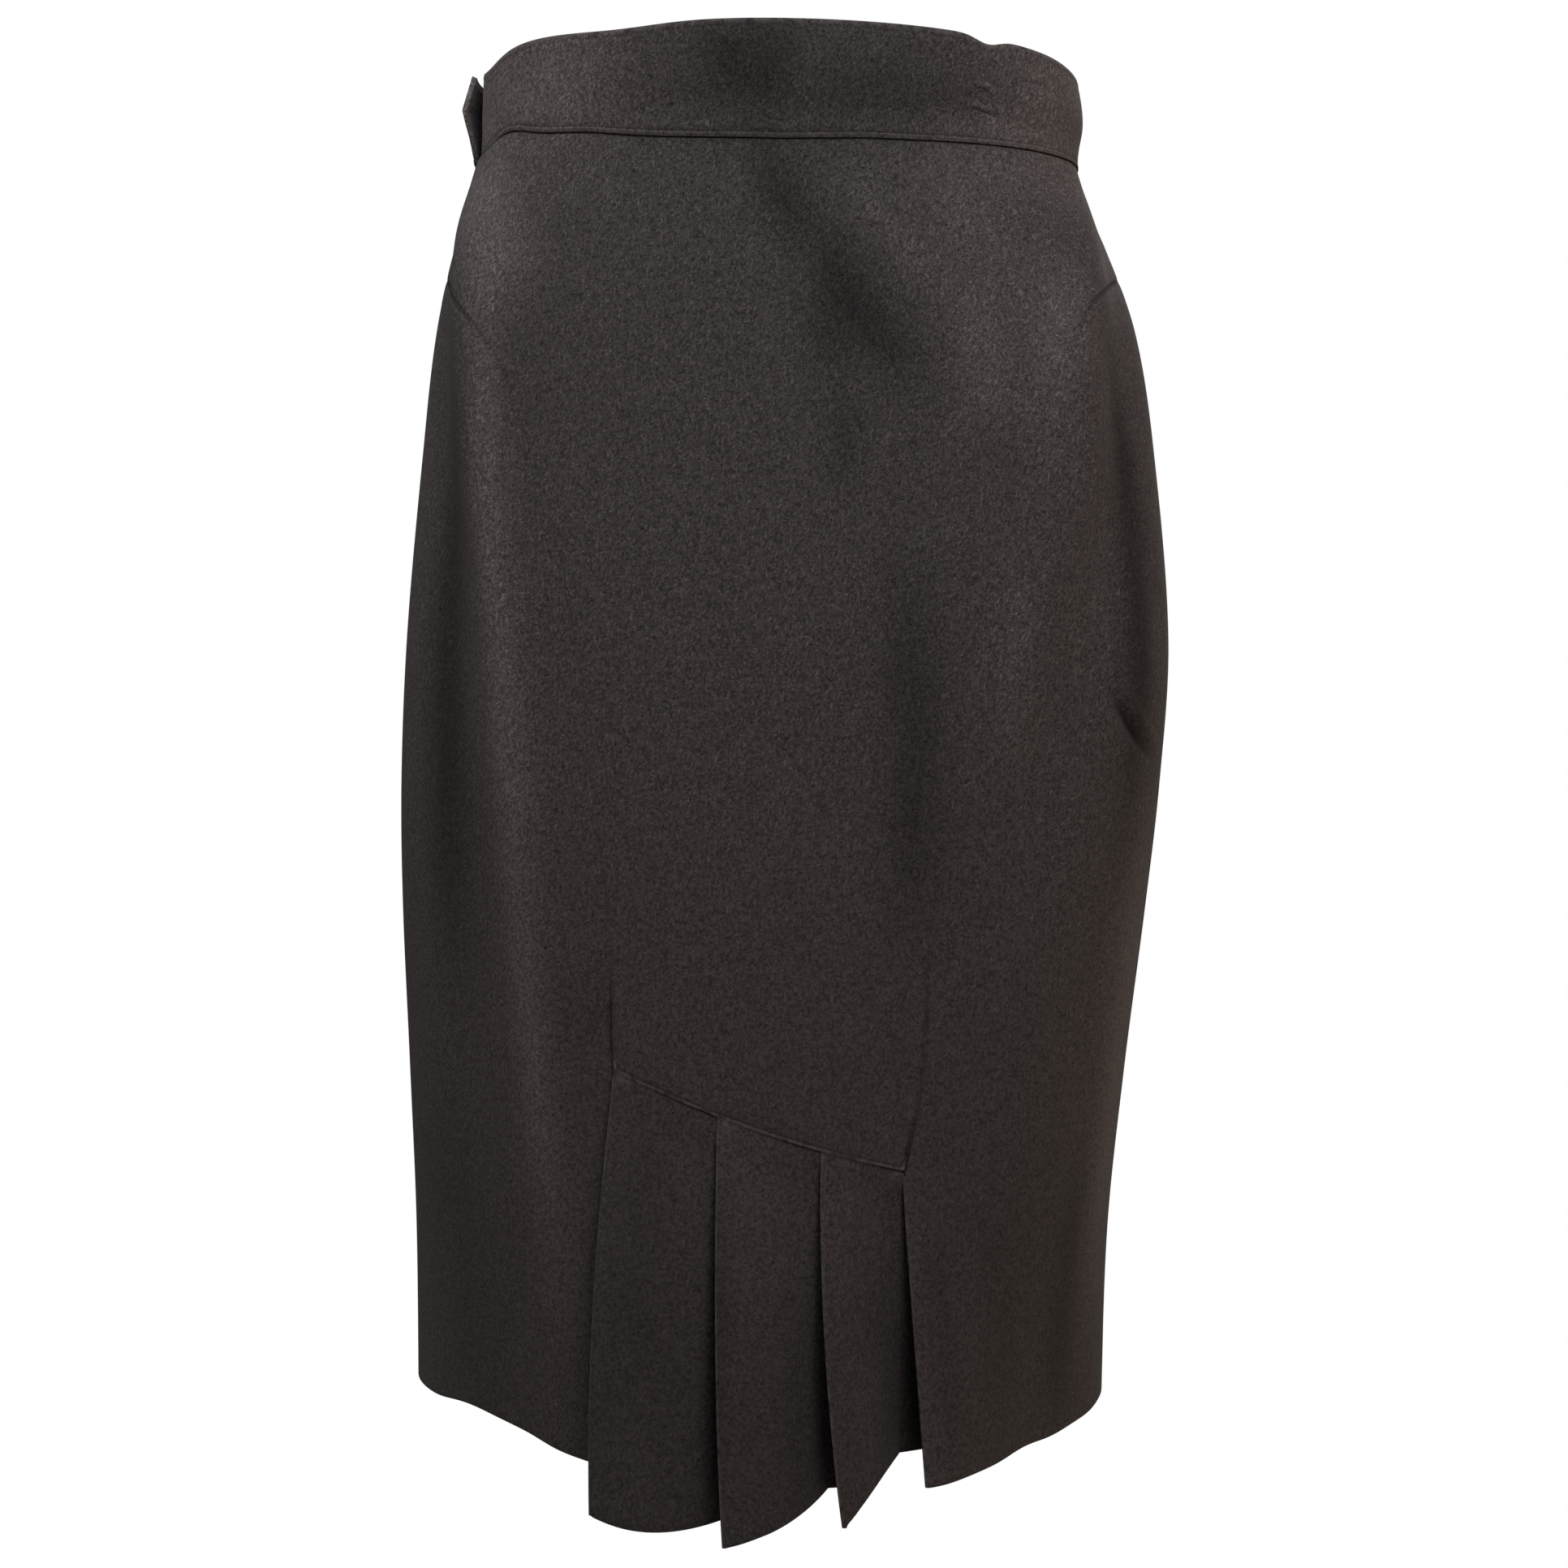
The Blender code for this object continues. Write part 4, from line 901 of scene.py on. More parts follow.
# %% Wrap the waistband
def waistband():
    angle = np.interp(np.linspace(0.0, 1.0, BAND_COLUMNS), COLUMN_SHARES, COLUMN_ANGLES)[None, :]
    low = waist_seam(angle) + HALF_GAP
    high = BAND_TOP - sum(sag.depth * hump(angle - sag.angle, sag.width) for sag in BAND_SAGS)
    first, last = BAND_LOW_ROLLS[-1].up, BAND_HIGH_ROLLS[0].down
    lower = [low + roll.up for roll in BAND_LOW_ROLLS]
    middle = mix(low + first, high - last, np.linspace(0.0, 1.0, MIDDLE_ROWS + 2)[1:-1, None])
    upper = [high - roll.down for roll in BAND_HIGH_ROLLS]
    z = np.concatenate([*lower, middle, *upper])[::-1]
    outs = [roll.out for roll in BAND_LOW_ROLLS], [0.0] * MIDDLE_ROWS, [roll.out for roll in BAND_HIGH_ROLLS]
    profile = np.concatenate(outs)[::-1, None]
    height = (z - low) / (high - low)
    free = np.clip((angle - BAND_END) / TAB_FREE + 1.0, 0.0, 1.0) ** TAB_CURL
    pressed = 1.0 - smooth_step(*PRESSED_REACH, angle)
    dents = along_lines(BAND_DENTS, angle, z) * (1.0 - pressed)
    flare = free * np.interp(height, TAB_HEIGHTS, TAB_FLARES)
    out = BAND_OUT - pressed * (BAND_CLOTH + SEAM_GAP) + flare + profile + dents
    wear = smooth_step(RUBBED_REACH, 0.0, high - z)
    angle = np.broadcast_to(angle, z.shape)
    hang, lip = Hang("folded", "side_panel_left"), BAND_LIP * (z < BAND_TOP / 2)
    band = cloth_wall("waistband", angle, z, out, hang, wear, BAND_CLOTH, edge=BAND_EDGE, lip=lip)
    band.modifiers["rounded edges"].segments = 3


waistband()

# %% [markdown]
# ## Wool flannel
# Flannel is milled and brushed, so its weave disappears under short felted fibres. The yarn is spun from
# dark brown fleece with some pale fibres left in, which is why it looks grey from afar and speckled from
# near. An image could show that, but a procedural material has it at the right size on every piece and
# from every side. A noise stretched along one direction gives short strokes. Five directions of them lie
# over a cloudy ground with dark specks, and more of them show higher up, as painted light from above.
# The numbers kept on the cloth then paint shade into its seams, pale its rubbed edges and its fold edges
# with painted highlight, and paint broad areas of light and shade over it.

# %% Node helpers
def add(tree, kind, sockets=(), **settings):
    """Adds a node. sockets are (input name or number, value or another node's output)."""
    node = tree.nodes.new(kind)
    for key, value in settings.items():
        setattr(node, key, value)
    for key, value in sockets:
        socket = node.inputs[key]
        if isinstance(value, bpy.types.NodeSocket):
            tree.links.new(value, socket)
        else:
            socket.default_value = value
    return node


def between(tree, value, low, high, to_low=0.0, to_high=1.0):
    """value taken smoothly from low..high to to_low..to_high."""
    ends = [("From Min", low), ("From Max", high), ("To Min", to_low), ("To Max", to_high)]
    sockets = [("Value", value), *ends]
    return add(tree, "ShaderNodeMapRange", sockets, interpolation_type="SMOOTHSTEP").outputs["Result"]


def calculate(tree, what, a, b=0.0):
    return add(tree, "ShaderNodeMath", [(0, a), (1, b)], operation=what).outputs[0]


def product(tree, *values):
    result, *others = values
    for value in others:
        result = calculate(tree, "MULTIPLY", result, value)
    return result


def stored(tree, name):
    """A number that was kept on each point of the cloth."""
    return add(tree, "ShaderNodeAttribute", attribute_name=name).outputs["Fac"]


def noise(tree, place, scale, detail=2.0, warp=0.0, rough=0.5):
    look = [("Scale", scale), ("Detail", detail), ("Distortion", warp), ("Roughness", rough)]
    return add(tree, "ShaderNodeTexNoise", [("Vector", place), *look]).outputs["Fac"]


def blend_colours(tree, share, a, b, how="MIX"):
    mixed = add(tree, "ShaderNodeMix", [(0, share), (6, a), (7, b)], data_type="RGBA", blend_type=how)
    return mixed.outputs[2]


def new_material(name):
    material = bpy.data.materials.new(name)
    material.use_nodes = True
    tree = material.node_tree
    place = add(tree, "ShaderNodeTexCoord").outputs["Object"]
    return material, tree, place, tree.nodes["Principled BSDF"]


def dress(tree, shader, colour, bump, values):
    """Joins a colour and a bump (height, strength, depth) to a shader, and sets its plain values."""
    relief = add(tree, "ShaderNodeBump", list(zip(("Height", "Strength", "Distance"), bump)))
    tree.links.new(colour, shader.inputs["Base Color"])
    tree.links.new(relief.outputs[0], shader.inputs["Normal"])
    for name, value in values.items():
        shader.inputs[name].default_value = value


# %% Colours and sizes of the fibres
FLEECE_DEEP = (0.0105, 0.0085, 0.0080, 1.0)
FLEECE_DARK = (0.022, 0.0186, 0.0180, 1.0)
FLEECE_MID = (0.046, 0.0400, 0.0386, 1.0)
FLEECE_PALE = (0.112, 0.099, 0.095, 1.0)
# rubbed edges are paled towards this, which also paints the highlight on the pleats' fold edges
WORN_EDGE_AND_HIGHLIGHT = (0.112, 0.100, 0.094, 1.0)
# painted shade: seam grooves and the line above a lip are darkened towards this
PAINTED_SEAM_SHADE = (0.006, 0.005, 0.005, 1.0)
FIBRE_SCALE, FIBRE_STRETCH = 1150.0, 4.2
GROUND_SCALE, SPECK_SCALE, RAGGED_SCALE = 620.0, 830.0, 260.0
RUBBED_AND_HIGHLIT_PALER, LIP_PAINTED_SHADOW, GROOVE_PAINTED_SHADE = 0.6, 0.40, 0.93  # the most that each of these changes the colour: rubbed edges paler with painted highlight, a painted shadow line above a lip, and painted shade in a seam's groove
# Heights in the bump, in mm: a seam's groove, the edge of its allowance, a fibre and a dark speck
GROOVE_HEIGHT, RIDGE_HEIGHT, FIBRE_HEIGHT, SPECK_HEIGHT = -0.5, 0.08, 0.16, -0.14
FIBRES_LOW, FIBRES_HIGH = (-0.50, 0.30), (-0.20, 0.74)  # z, and how much the fibres show there: more above, which is painted light
# Directions in which the pale fibres lie: turns about x, y and z in degrees, and how few there are
LAYS = named_rows(
    "turn low high",
    ((0, -52, 38), 0.60, 0.92),
    ((0, 40, 140), 0.60, 0.92),
    ((0, -78, 70), 0.62, 0.94),
    ((0, -14, 45), 0.61, 0.92),
    ((0, 22, 120), 0.62, 0.94),
)


# %% Mix the flannel
def strokes(tree, place, lay):
    """Short thin strokes along one direction, 1 on a fibre and 0 beside it."""
    turn = [math.radians(t) for t in lay.turn]
    sockets = [("Vector", place), ("Rotation", turn), ("Scale", (FIBRE_STRETCH, 1.0, 1.0))]
    along = add(tree, "ShaderNodeMapping", sockets, vector_type="TEXTURE").outputs[0]
    return between(tree, noise(tree, along, FIBRE_SCALE, 0.0, 0.35), lay.low, lay.high)


def melange(tree, place):
    """The fleece's colour with its painted light and shade, and where its pale fibres and its dark specks
    are.
    """
    ground = between(tree, noise(tree, place, GROUND_SCALE, 2.0, 0.2, 0.55), 0.30, 0.70)
    colour = blend_colours(tree, ground, FLEECE_DARK, FLEECE_MID)
    specks = between(tree, noise(tree, place, SPECK_SCALE, 1.0, 0.8), 0.29, 0.40, 0.80, 0.0)
    colour = blend_colours(tree, specks, colour, FLEECE_DEEP)
    pale = 0.0
    for lay in LAYS:
        pale = calculate(tree, "MAXIMUM", pale, strokes(tree, place, lay))
    height = add(tree, "ShaderNodeSeparateXYZ", [(0, place)]).outputs["Z"]
    # painted light: more pale fibres show higher up, so the cloth looks brighter above
    fibres_lit_from_above = between(tree, height, FIBRES_LOW[0], FIBRES_HIGH[0], FIBRES_LOW[1], FIBRES_HIGH[1])
    fibres = product(tree, pale, fibres_lit_from_above)
    colour = blend_colours(tree, fibres, colour, FLEECE_PALE)
    # the colour is scaled by the painted light and shade kept on each point
    nap = stored(tree, "nap")
    with_painted_shading = add(tree, "ShaderNodeVectorMath", [(0, colour), ("Scale", nap)], operation="SCALE")
    return with_painted_shading.outputs[0], fibres, specks


def wear_and_painted_seam_shade(tree, place, colour, distance, shows):
    """The colour with its rubbed edges paler, partly as painted highlight, with painted shade in the groove
    of each seam and a painted shadow line behind a lip.
    """
    lip, wear = stored(tree, "lip"), stored(tree, "wear")
    ragged = between(tree, noise(tree, place, RAGGED_SCALE), 0.34, 0.60)
    rolled = product(tree, between(tree, distance, 0.8 * MM, 1.5 * MM, 1.0, 0.0), lip)
    # rubbed edges and rolled lips made paler, with painted highlight on fold edges
    edges = product(tree, calculate(tree, "MAXIMUM", wear, rolled), ragged, RUBBED_AND_HIGHLIT_PALER)
    colour = blend_colours(tree, edges, colour, WORN_EDGE_AND_HIGHLIGHT)
    over = calculate(tree, "GREATER_THAN", lip, 0.0)
    # a painted shadow line just beyond the lip
    starts = between(tree, distance, 1.3 * MM, 1.8 * MM)
    ends = between(tree, distance, 1.8 * MM, 2.8 * MM, LIP_PAINTED_SHADOW, 0.0)
    colour = blend_colours(tree, product(tree, starts, ends, over), colour, PAINTED_SEAM_SHADE)
    # painted shade in each seam's groove, on the side away from a lip
    below = calculate(tree, "SUBTRACT", 1.0, over)
    shade = between(tree, distance, 0.8 * MM, 1.9 * MM, GROOVE_PAINTED_SHADE, 0.0)
    return blend_colours(tree, product(tree, shade, shows, below), colour, PAINTED_SEAM_SHADE)


# %% Put the flannel on every wall
def wool():
    material, tree, place, shader = new_material("wool_flannel")
    colour, fibres, specks = melange(tree, place)
    distance, shows = stored(tree, "from_seam"), stored(tree, "seam_shows")
    colour = wear_and_painted_seam_shade(tree, place, colour, distance, shows)
    groove = product(tree, between(tree, distance, 0.1 * MM, 1.4 * MM, GROOVE_HEIGHT, 0.0), shows)
    ridge = product(tree, between(tree, distance, 9.5 * MM, 12 * MM, RIDGE_HEIGHT, 0.0), shows)
    fuzz = calculate(tree, "ADD", product(tree, fibres, FIBRE_HEIGHT), product(tree, specks, SPECK_HEIGHT))
    height = calculate(tree, "ADD", calculate(tree, "ADD", groove, ridge), fuzz)
    gloss = {"Roughness": 0.92, "Specular IOR Level": 0.10}
    sheen = {"Sheen Weight": 0.04, "Sheen Roughness": 0.45}
    dress(tree, shader, colour, (height, 0.6, 1.0 * MM), gloss | sheen)
    return material


flannel = wool()
for piece in pieces_made.values():
    piece.data.materials.append(flannel)
print("flannel on", len(pieces_made), "pieces")

# %% [markdown]
# ## The zip
# A closed zip lies behind the left side seam. Only its slider and pull tab are outside, over the seam.
# Its parts are small, so each is a short loop: the tape is a strip with a ribbed edge, the teeth are one
# bent bar repeated in two rows, and the slider and pull are plates with rounded edges. The pull is the
# one piece that swings, and it rides on its own body.

# %% The slider's own frame
ZIP_LENGTH, COIL_STOP, ZIP_TOP = 0.19, 8 * MM, -3 * MM
TAPE_ANGLE, TAPE_CLOTH, TAPE_GAP = 3.8, 0.7 * MM, 0.8 * MM
COIL_CLOTH = 1.6 * MM
SLIDER_DROP = 0.016
PIN_RADIUS, EYE_CLEARANCE, EYE_WALL = 0.45 * MM, 0.3 * MM, 0.5 * MM
PLATE_LIFT, EYE_LIFT = 0.1 * MM, 0.35 * MM
PLATE_LOW = CLOTH / 2 + SEAM_GAP + PLATE_LIFT
PLATE = 0.9 * MM
PLATE_HALF_WIDE, PLATE_HALF_HIGH = 2.7 * MM, 3.6 * MM
LUG_IN, LUG_OUT, LUG_HALF_HIGH, LUG_OVER_PIN = 1.5 * MM, 2.4 * MM, 1.6 * MM, 1.0 * MM
EYE_INNER = PIN_RADIUS + EYE_CLEARANCE
EYE_OUTER = EYE_INNER + EYE_WALL
PIN_OUT = PLATE_LOW + PLATE + EYE_OUTER + EYE_LIFT
PULL_LENGTH, PULL_WIDTH, PULL_NECK, PULL_THICK = 15 * MM, 5 * MM, 1.8 * MM, 1.0 * MM
PULL_STEPS, PULL_POWER = 36, 0.6
FIELD_WIDE, FIELD_HIGH, FIELD_RISE = 0.66, 0.80, 0.05 * MM  # the pull's raised middle


def plain_place(angle, z, out=0.0):
    """A point of the solid's own surface, without the creases."""
    lift = soft_folds(angle, z) + out
    return Vector(ring(angle, z) + outward(angle, z) * lift)


def slider_frame():
    """x along the cloth, y out of the cloth and z up the seam, with its origin on the cloth."""
    here = plain_place(LEFT_SEAM, -SLIDER_DROP)
    above, below = (plain_place(LEFT_SEAM, -SLIDER_DROP + reach) for reach in (0.006, -0.006))
    up = (above - below).normalized()
    level = Vector((0.0, 0.0, 1.0)).cross(Vector(outward(LEFT_SEAM, -SLIDER_DROP))).normalized()
    return Matrix.Translation(here) @ Matrix((-level, level.cross(up).normalized(), up)).transposed().to_4x4()


slider_place = slider_frame()
print("slider at", [round(c, 4) for c in slider_place.translation])


# %% Small shapes for the zip
def new_piece(name, shape, material, node, body="root"):
    """An object from a bmesh shape, given to a body of the part."""
    bmesh.ops.recalc_face_normals(shape, faces=shape.faces)
    mesh = bpy.data.meshes.new(name)
    shape.to_mesh(mesh)
    shape.free()
    mesh.shade_smooth()
    mesh.materials.append(material)
    piece = add_to_scene(name, mesh)
    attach(piece, body)
    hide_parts(node)
    return piece


def join_rings(shape, rings):
    """Faces from each ring of points to the next."""
    for a, b in zip(rings, rings[1:]):
        for k in range(len(a)):
            after = (k + 1) % len(a)
            shape.faces.new((a[k], b[k], b[after], a[after]))


def plate(shape, outline, low, high, chamfer):
    """A flat plate with chamfered rims. outline is points (x, z), and low and high are along y."""
    middle = Vector((sum(x for x, _ in outline), sum(z for _, z in outline))) / len(outline)
    rings = []
    for y, inset in ((low, chamfer), (low + chamfer, 0.0), (high - chamfer, 0.0), (high, chamfer)):
        ring_points = []
        for x, z in outline:
            inward = (middle - Vector((x, z))).normalized() * inset
            ring_points.append(shape.verts.new((x + inward.x, y, z + inward.y)))
        rings.append(ring_points)
    join_rings(shape, rings)
    for end in (rings[0], rings[-1]):
        shape.faces.new(end)


def round_corners(half_wide, half_high, radius, middle=(0.0, 0.0), steps=5):
    """The outline of a rectangle with round corners."""
    outline = []
    for corner, (sx, sz) in enumerate(((1, 1), (-1, 1), (-1, -1), (1, -1))):
        for k in range(steps):
            turn = math.pi / 2 * (corner + k / (steps - 1))
            x = sx * (half_wide - radius) + radius * math.cos(turn)
            z = sz * (half_high - radius) + radius * math.sin(turn)
            outline.append((middle[0] + x, middle[1] + z))
    return outline


# %% Materials of the zip
def tape_material():
    material, tree, place, shader = new_material("zip_tape_weave")
    sockets = [("Vector", place), ("Scale", 420.0)]
    ribs = add(tree, "ShaderNodeTexWave", sockets, bands_direction="Z").outputs["Fac"]
    shade = product(tree, ribs, noise(tree, place, 1600.0, 1.0))
    colour = blend_colours(tree, shade, (0.010, 0.009, 0.009, 1.0), (0.034, 0.031, 0.031, 1.0))
    dress(tree, shader, colour, (shade, 0.6, 0.3 * MM), {"Roughness": 0.75})
    return material


def metal_material():
    material, tree, place, shader = new_material("zip_lacquer")
    scuffs = between(tree, noise(tree, place, 900.0, 3.0, 0.4), 0.52, 0.66)
    colour = blend_colours(tree, scuffs, (0.030, 0.028, 0.028, 1.0), (0.10, 0.095, 0.09, 1.0))
    rough = between(tree, noise(tree, place, 500.0, 2.0), 0.3, 0.7, 0.28, 0.45)
    tree.links.new(rough, shader.inputs["Roughness"])
    dress(tree, shader, colour, (scuffs, 0.25, 0.05 * MM), {"Metallic": 0.6})
    return material


tape_weave, lacquer = tape_material(), metal_material()


# %% Tape and teeth
TAPE_ROWS, TAPE_COLUMNS, TOOTH_STEPS = 96, 12, 6
TEETH_PITCH, TOOTH_RADIUS, TOOTH_REACH, TOOTH_SHIFT = 1.5 * MM, 0.32 * MM, 1.7 * MM, 0.5 * MM
HEAD_THICKER = 1.25  # the middle of each bent bar


def zip_tape():
    tape_in = CLOTH / 2 + TAPE_GAP + TAPE_CLOTH / 2
    shape = bmesh.new()
    grid = []
    for z in np.linspace(ZIP_TOP, -ZIP_LENGTH, TAPE_ROWS):
        angles = LEFT_SEAM + np.linspace(-TAPE_ANGLE, TAPE_ANGLE, TAPE_COLUMNS)
        grid.append([shape.verts.new(plain_place(angle, z, -tape_in)) for angle in angles])
    for upper, lower in zip(grid, grid[1:]):
        for j in range(TAPE_COLUMNS - 1):
            shape.faces.new((upper[j], lower[j], lower[j + 1], upper[j + 1]))
    tape = new_piece("zip_tape_strip", shape, tape_weave, "zip_tape")
    wall = tape.modifiers.new("thickness", "SOLIDIFY")
    wall.thickness, wall.offset = TAPE_CLOTH, 0.0


def zip_teeth():
    """Two rows of small bent bars, each row half a step behind the other."""
    coil_in = CLOTH / 2 + TAPE_GAP + TAPE_CLOTH + SEAM_GAP + COIL_CLOTH / 2
    shape = bmesh.new()
    count = int((ZIP_LENGTH - COIL_STOP + ZIP_TOP) / TEETH_PITCH)
    for i in range(2 * count):
        z = ZIP_TOP - (i + 0.5) * TEETH_PITCH / 2
        here = plain_place(LEFT_SEAM, z, -coil_in)
        along = (plain_place(LEFT_SEAM + 1.0, z) - plain_place(LEFT_SEAM - 1.0, z)).normalized()
        out, up = Vector(outward(LEFT_SEAM, z)), Vector((0.0, 0.0, 1.0))
        side = 1.0 if i % 2 else -1.0
        circles = []
        for k in range(TOOTH_STEPS + 1):
            turn = math.pi * k / TOOTH_STEPS
            middle = here + along * side * (TOOTH_REACH * math.cos(turn / 2) - TOOTH_SHIFT)
            middle += out * (COIL_CLOTH / 2 - TOOTH_RADIUS) * math.cos(turn)
            thick = TOOTH_RADIUS * (HEAD_THICKER if k in (2, 3, 4) else 1.0)
            turns = np.radians(np.arange(0, 360, 60))
            rim = [middle + out * thick * math.cos(a) + up * TOOTH_RADIUS * math.sin(a) for a in turns]
            circles.append([shape.verts.new(place) for place in rim])
        join_rings(shape, circles)
        shape.faces.new(circles[0])
        shape.faces.new(circles[-1])
    return new_piece("zip_teeth", shape, tape_weave, "zip_coil")


zip_tape()
teeth = zip_teeth()
print("teeth made of", len(teeth.data.polygons), "faces")


# %% Slider and pull
def rod(shape, radius, half_length, middle, segments=20):
    """A round bar along x."""
    size = dict(radius1=radius, radius2=radius, depth=2 * half_length)
    made = bmesh.ops.create_cone(shape, cap_ends=True, segments=segments, **size)["verts"]
    bmesh.ops.rotate(shape, matrix=Matrix.Rotation(math.pi / 2, 3, "Y"), verts=made)
    bmesh.ops.translate(shape, vec=middle, verts=made)


def zip_slider():
    shape = bmesh.new()
    long_plate = round_corners(PLATE_HALF_WIDE, PLATE_HALF_HIGH, 1.1 * MM)
    plate(shape, long_plate, PLATE_LOW, PLATE_LOW + PLATE, 0.18 * MM)
    half, top = (LUG_OUT - LUG_IN) / 2, PIN_OUT + LUG_OVER_PIN
    for side in (-1, 1):
        lug = round_corners(half, LUG_HALF_HIGH, 0.3 * MM, (side * (LUG_IN + half), 0.0))
        plate(shape, lug, PLATE_LOW + 0.3 * MM, top, 0.16 * MM)
    rod(shape, PIN_RADIUS, LUG_IN + half, (0.0, PIN_OUT, 0.0))
    shape.transform(slider_place)
    new_piece("zip_slider_body", shape, lacquer, "zip_slider")


def zip_pull():
    """A drop-shaped plate with a raised rim, and its eye round the slider's pin."""
    shape = bmesh.new()
    outline = []
    for k in range(PULL_STEPS):
        turn = 2 * math.pi * (k + 0.5) / PULL_STEPS
        down = 0.5 - 0.5 * math.cos(turn)
        half = mix(PULL_NECK, PULL_WIDTH, float(smooth_step(0.0, 0.7, down))) / 2
        half = half * abs(math.sin(turn)) ** PULL_POWER
        outline.append((math.copysign(half, math.pi - turn), -mix(EYE_OUTER, PULL_LENGTH, down)))
    plate(shape, outline, -PULL_THICK / 2, PULL_THICK / 2, 0.16 * MM)
    centre_z = -mix(EYE_OUTER, PULL_LENGTH, 0.5)
    field = [(x * FIELD_WIDE, centre_z + (z - centre_z) * FIELD_HIGH) for x, z in outline]
    plate(shape, field, -PULL_THICK / 2 - FIELD_RISE, PULL_THICK / 2 + FIELD_RISE, 0.10 * MM)
    half_eye = LUG_IN - EYE_CLEARANCE
    rims = (-half_eye, EYE_INNER), (-half_eye, EYE_OUTER), (half_eye, EYE_OUTER), (half_eye, EYE_INNER)
    turns = np.radians(np.arange(0, 360, 15))
    circles = []
    for x, radius in rims:
        circles.append([shape.verts.new((x, radius * math.cos(t), radius * math.sin(t))) for t in turns])
    join_rings(shape, [*circles, circles[0]])
    shape.transform(slider_place @ Matrix.Translation((0, PIN_OUT, 0)))
    new_piece("zip_pull_tab", shape, lacquer, "zip_pull", "pull")


zip_slider()
zip_pull()

# %% [markdown]
# ## Floor, light and camera
# The skirt hangs at the height of a standing wearer's waist over a floor. The camera sees the floor as
# plain white everywhere, so that no horizon shows, while all other rays meet a grey floor. A room with
# windows lights such a skirt softly from all sides, cooler from above and warmer from below. A few round
# soft lamps stand in for it: most of their light comes from the front and the left, so the lap is
# brightest and the sides and the hem fall into shade. The camera stands a little below the waist and looks
# slightly down.

# %% Floor and surroundings
FLOOR_Z = -1.05
FLOOR_REACH = 12.0
FLOOR_COLOUR, FLOOR_ROUGH = (0.30, 0.28, 0.26, 1.0), 0.9
WHITE, SKY = (1.0, 1.0, 1.0, 1.0), (0.96, 0.97, 1.0, 1.0)
AMBIENT = 0.004


def white_to_camera(tree, lit, white, output):
    """The camera sees the white shader, and all other rays meet the lit one."""
    direct = add(tree, "ShaderNodeLightPath").outputs["Is Camera Ray"]
    mixed = add(tree, "ShaderNodeMixShader", [(0, direct), (1, lit.outputs[0]), (2, white.outputs[0])])
    tree.links.new(mixed.outputs[0], tree.nodes[output].inputs["Surface"])


def floor():
    shape = bmesh.new()
    bmesh.ops.create_circle(shape, cap_ends=True, segments=96, radius=FLOOR_REACH)
    mesh = bpy.data.meshes.new("floor")
    shape.to_mesh(mesh)
    shape.free()
    material, tree, _, shader = new_material("pale_floor")
    glow = add(tree, "ShaderNodeEmission", [("Color", WHITE), ("Strength", 1.0)])
    white_to_camera(tree, shader, glow, "Material Output")
    shader.inputs["Base Color"].default_value = FLOOR_COLOUR
    shader.inputs["Roughness"].default_value = FLOOR_ROUGH
    mesh.materials.append(material)
    thing = add_to_scene("floor", mesh)
    thing.location = (0.0, 0.0, FLOOR_Z)
    thing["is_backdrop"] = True


floor()
world = bpy.data.worlds.new("studio")
bpy.context.scene.world = world
world.use_nodes = True
studio = world.node_tree
seen = studio.nodes["Background"]
seen.inputs["Color"].default_value = WHITE
soft = add(studio, "ShaderNodeBackground", [("Color", SKY), ("Strength", AMBIENT)])
white_to_camera(studio, soft, seen, "World Output")

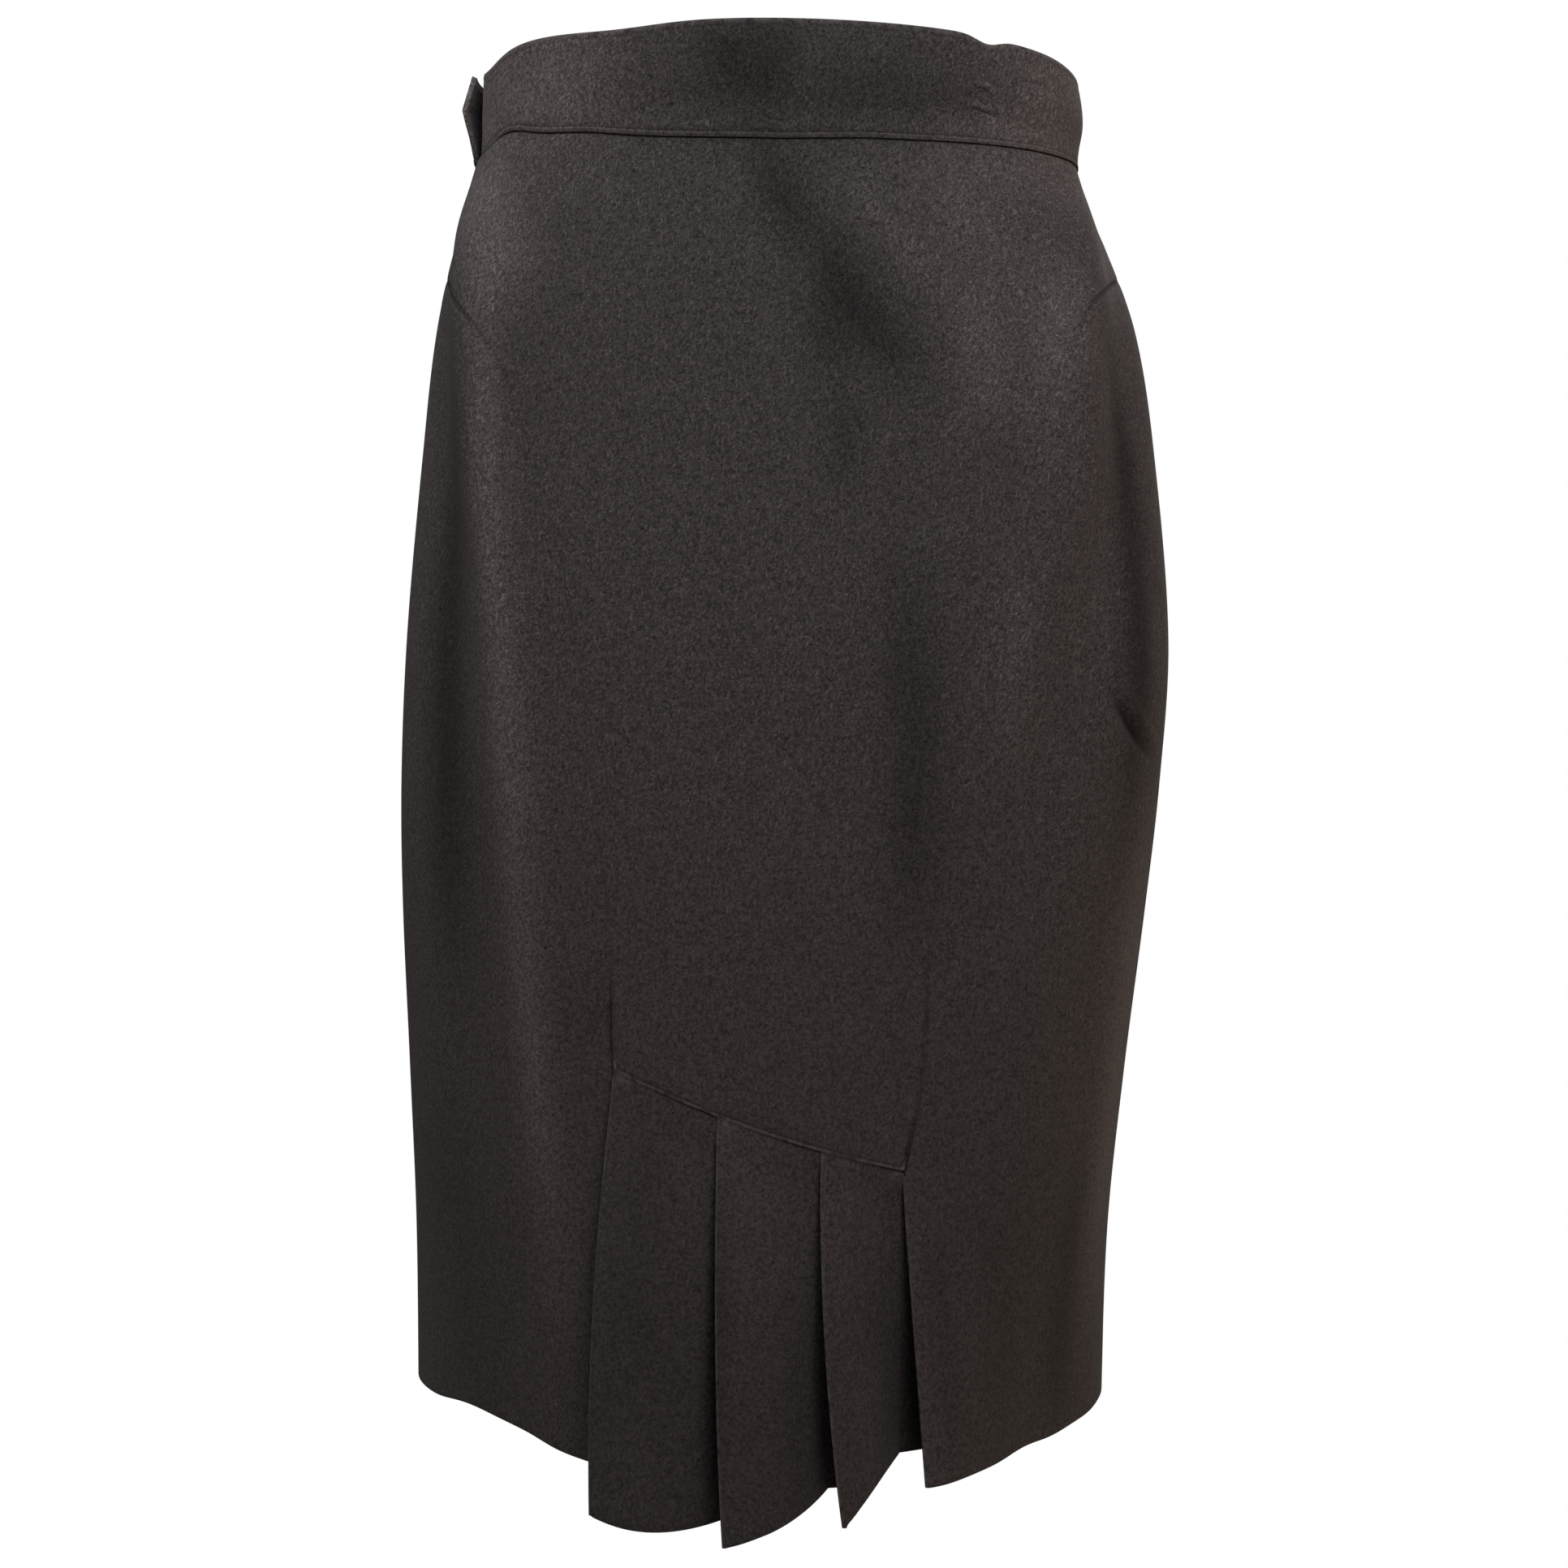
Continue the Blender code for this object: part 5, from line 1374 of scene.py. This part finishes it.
# %% Lights
MIDDLE = (0.0, 0.0, -0.25)
LAMPS = named_rows(
    "name place target size power colour",
    ("front", (0.354, -1.091, 0.553), MIDDLE, 0.9, 12.4, (0.67, 0.83, 1.0)),
    ("low front", (0.677, -2.084, -0.058), MIDDLE, 0.9, 10.2, (1.0, 0.62, 0.32)),
    ("above", (0.0, -0.157, 1.242), MIDDLE, 0.9, 12.1, (0.97, 0.93, 1.0)),
    ("left", (-2.13, -0.074, 1.241), MIDDLE, 0.9, 27.0, (0.92, 0.92, 1.0)),
    ("left front", (-0.878, -0.737, 0.553), MIDDLE, 0.9, 3.1, (1.0, 0.90, 0.60)),
    ("right", (1.146, -0.040, 0.553), MIDDLE, 0.9, 4.8, (1.0, 0.65, 0.40)),
    ("low right", (1.3, 0.35, -0.75), (0.0, 0.0, -0.45), 0.6, 2.2, (1.0, 0.72, 0.48)),
    ("behind", (0.4, 1.9, 1.3), (0.0, 0.0, -0.2), 1.6, 34.0, (1.0, 1.0, 1.0)),
)
for lamp in LAMPS:
    light = bpy.data.lights.new(lamp.name, "AREA")
    light.shape, light.size = "DISK", lamp.size
    light.energy, light.color = lamp.power, lamp.colour
    thing = add_to_scene(lamp.name, light)
    thing.location = lamp.place
    thing.rotation_euler = (Vector(lamp.target) - Vector(lamp.place)).to_track_quat("-Z", "Y").to_euler()

# %% Camera
EYE = Vector((0.0, -1.15, -0.247))
PITCH, YAW, ROLL = math.radians(2.74), math.radians(0.32), math.radians(0.55)
FOCAL_MM, SENSOR_MM = 53.0, 36.0
ahead = Vector((math.sin(YAW) * math.cos(PITCH), math.cos(YAW) * math.cos(PITCH), -math.sin(PITCH)))
right = Vector((math.cos(YAW), -math.sin(YAW), 0.0))
up = right.cross(ahead)
right, up = right * math.cos(ROLL) + up * math.sin(ROLL), up * math.cos(ROLL) - right * math.sin(ROLL)
lens = bpy.data.cameras.new("camera")
lens.lens, lens.sensor_width = FOCAL_MM, SENSOR_MM
camera = add_to_scene("camera", lens)
camera.matrix_world = Matrix.Translation(EYE) @ Matrix((right, up, -ahead)).transposed().to_4x4()
bpy.context.scene.camera = camera
bpy.context.scene.view_settings.view_transform = "Standard"

# %% [markdown]
# ## Last look
# The shells may stand a little outside the solids, as fabric does. The sizes of the two boxes are printed.

# %% Print the sizes of the two boxes
bpy.context.view_layer.update()
boxes = {"solids": [list(c) for c in solid_box], "shown": [list(c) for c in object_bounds()]}
for which, (low, high) in boxes.items():
    print(which, [round((b - a) * 1000, 1) for a, b in zip(low, high)], "mm")
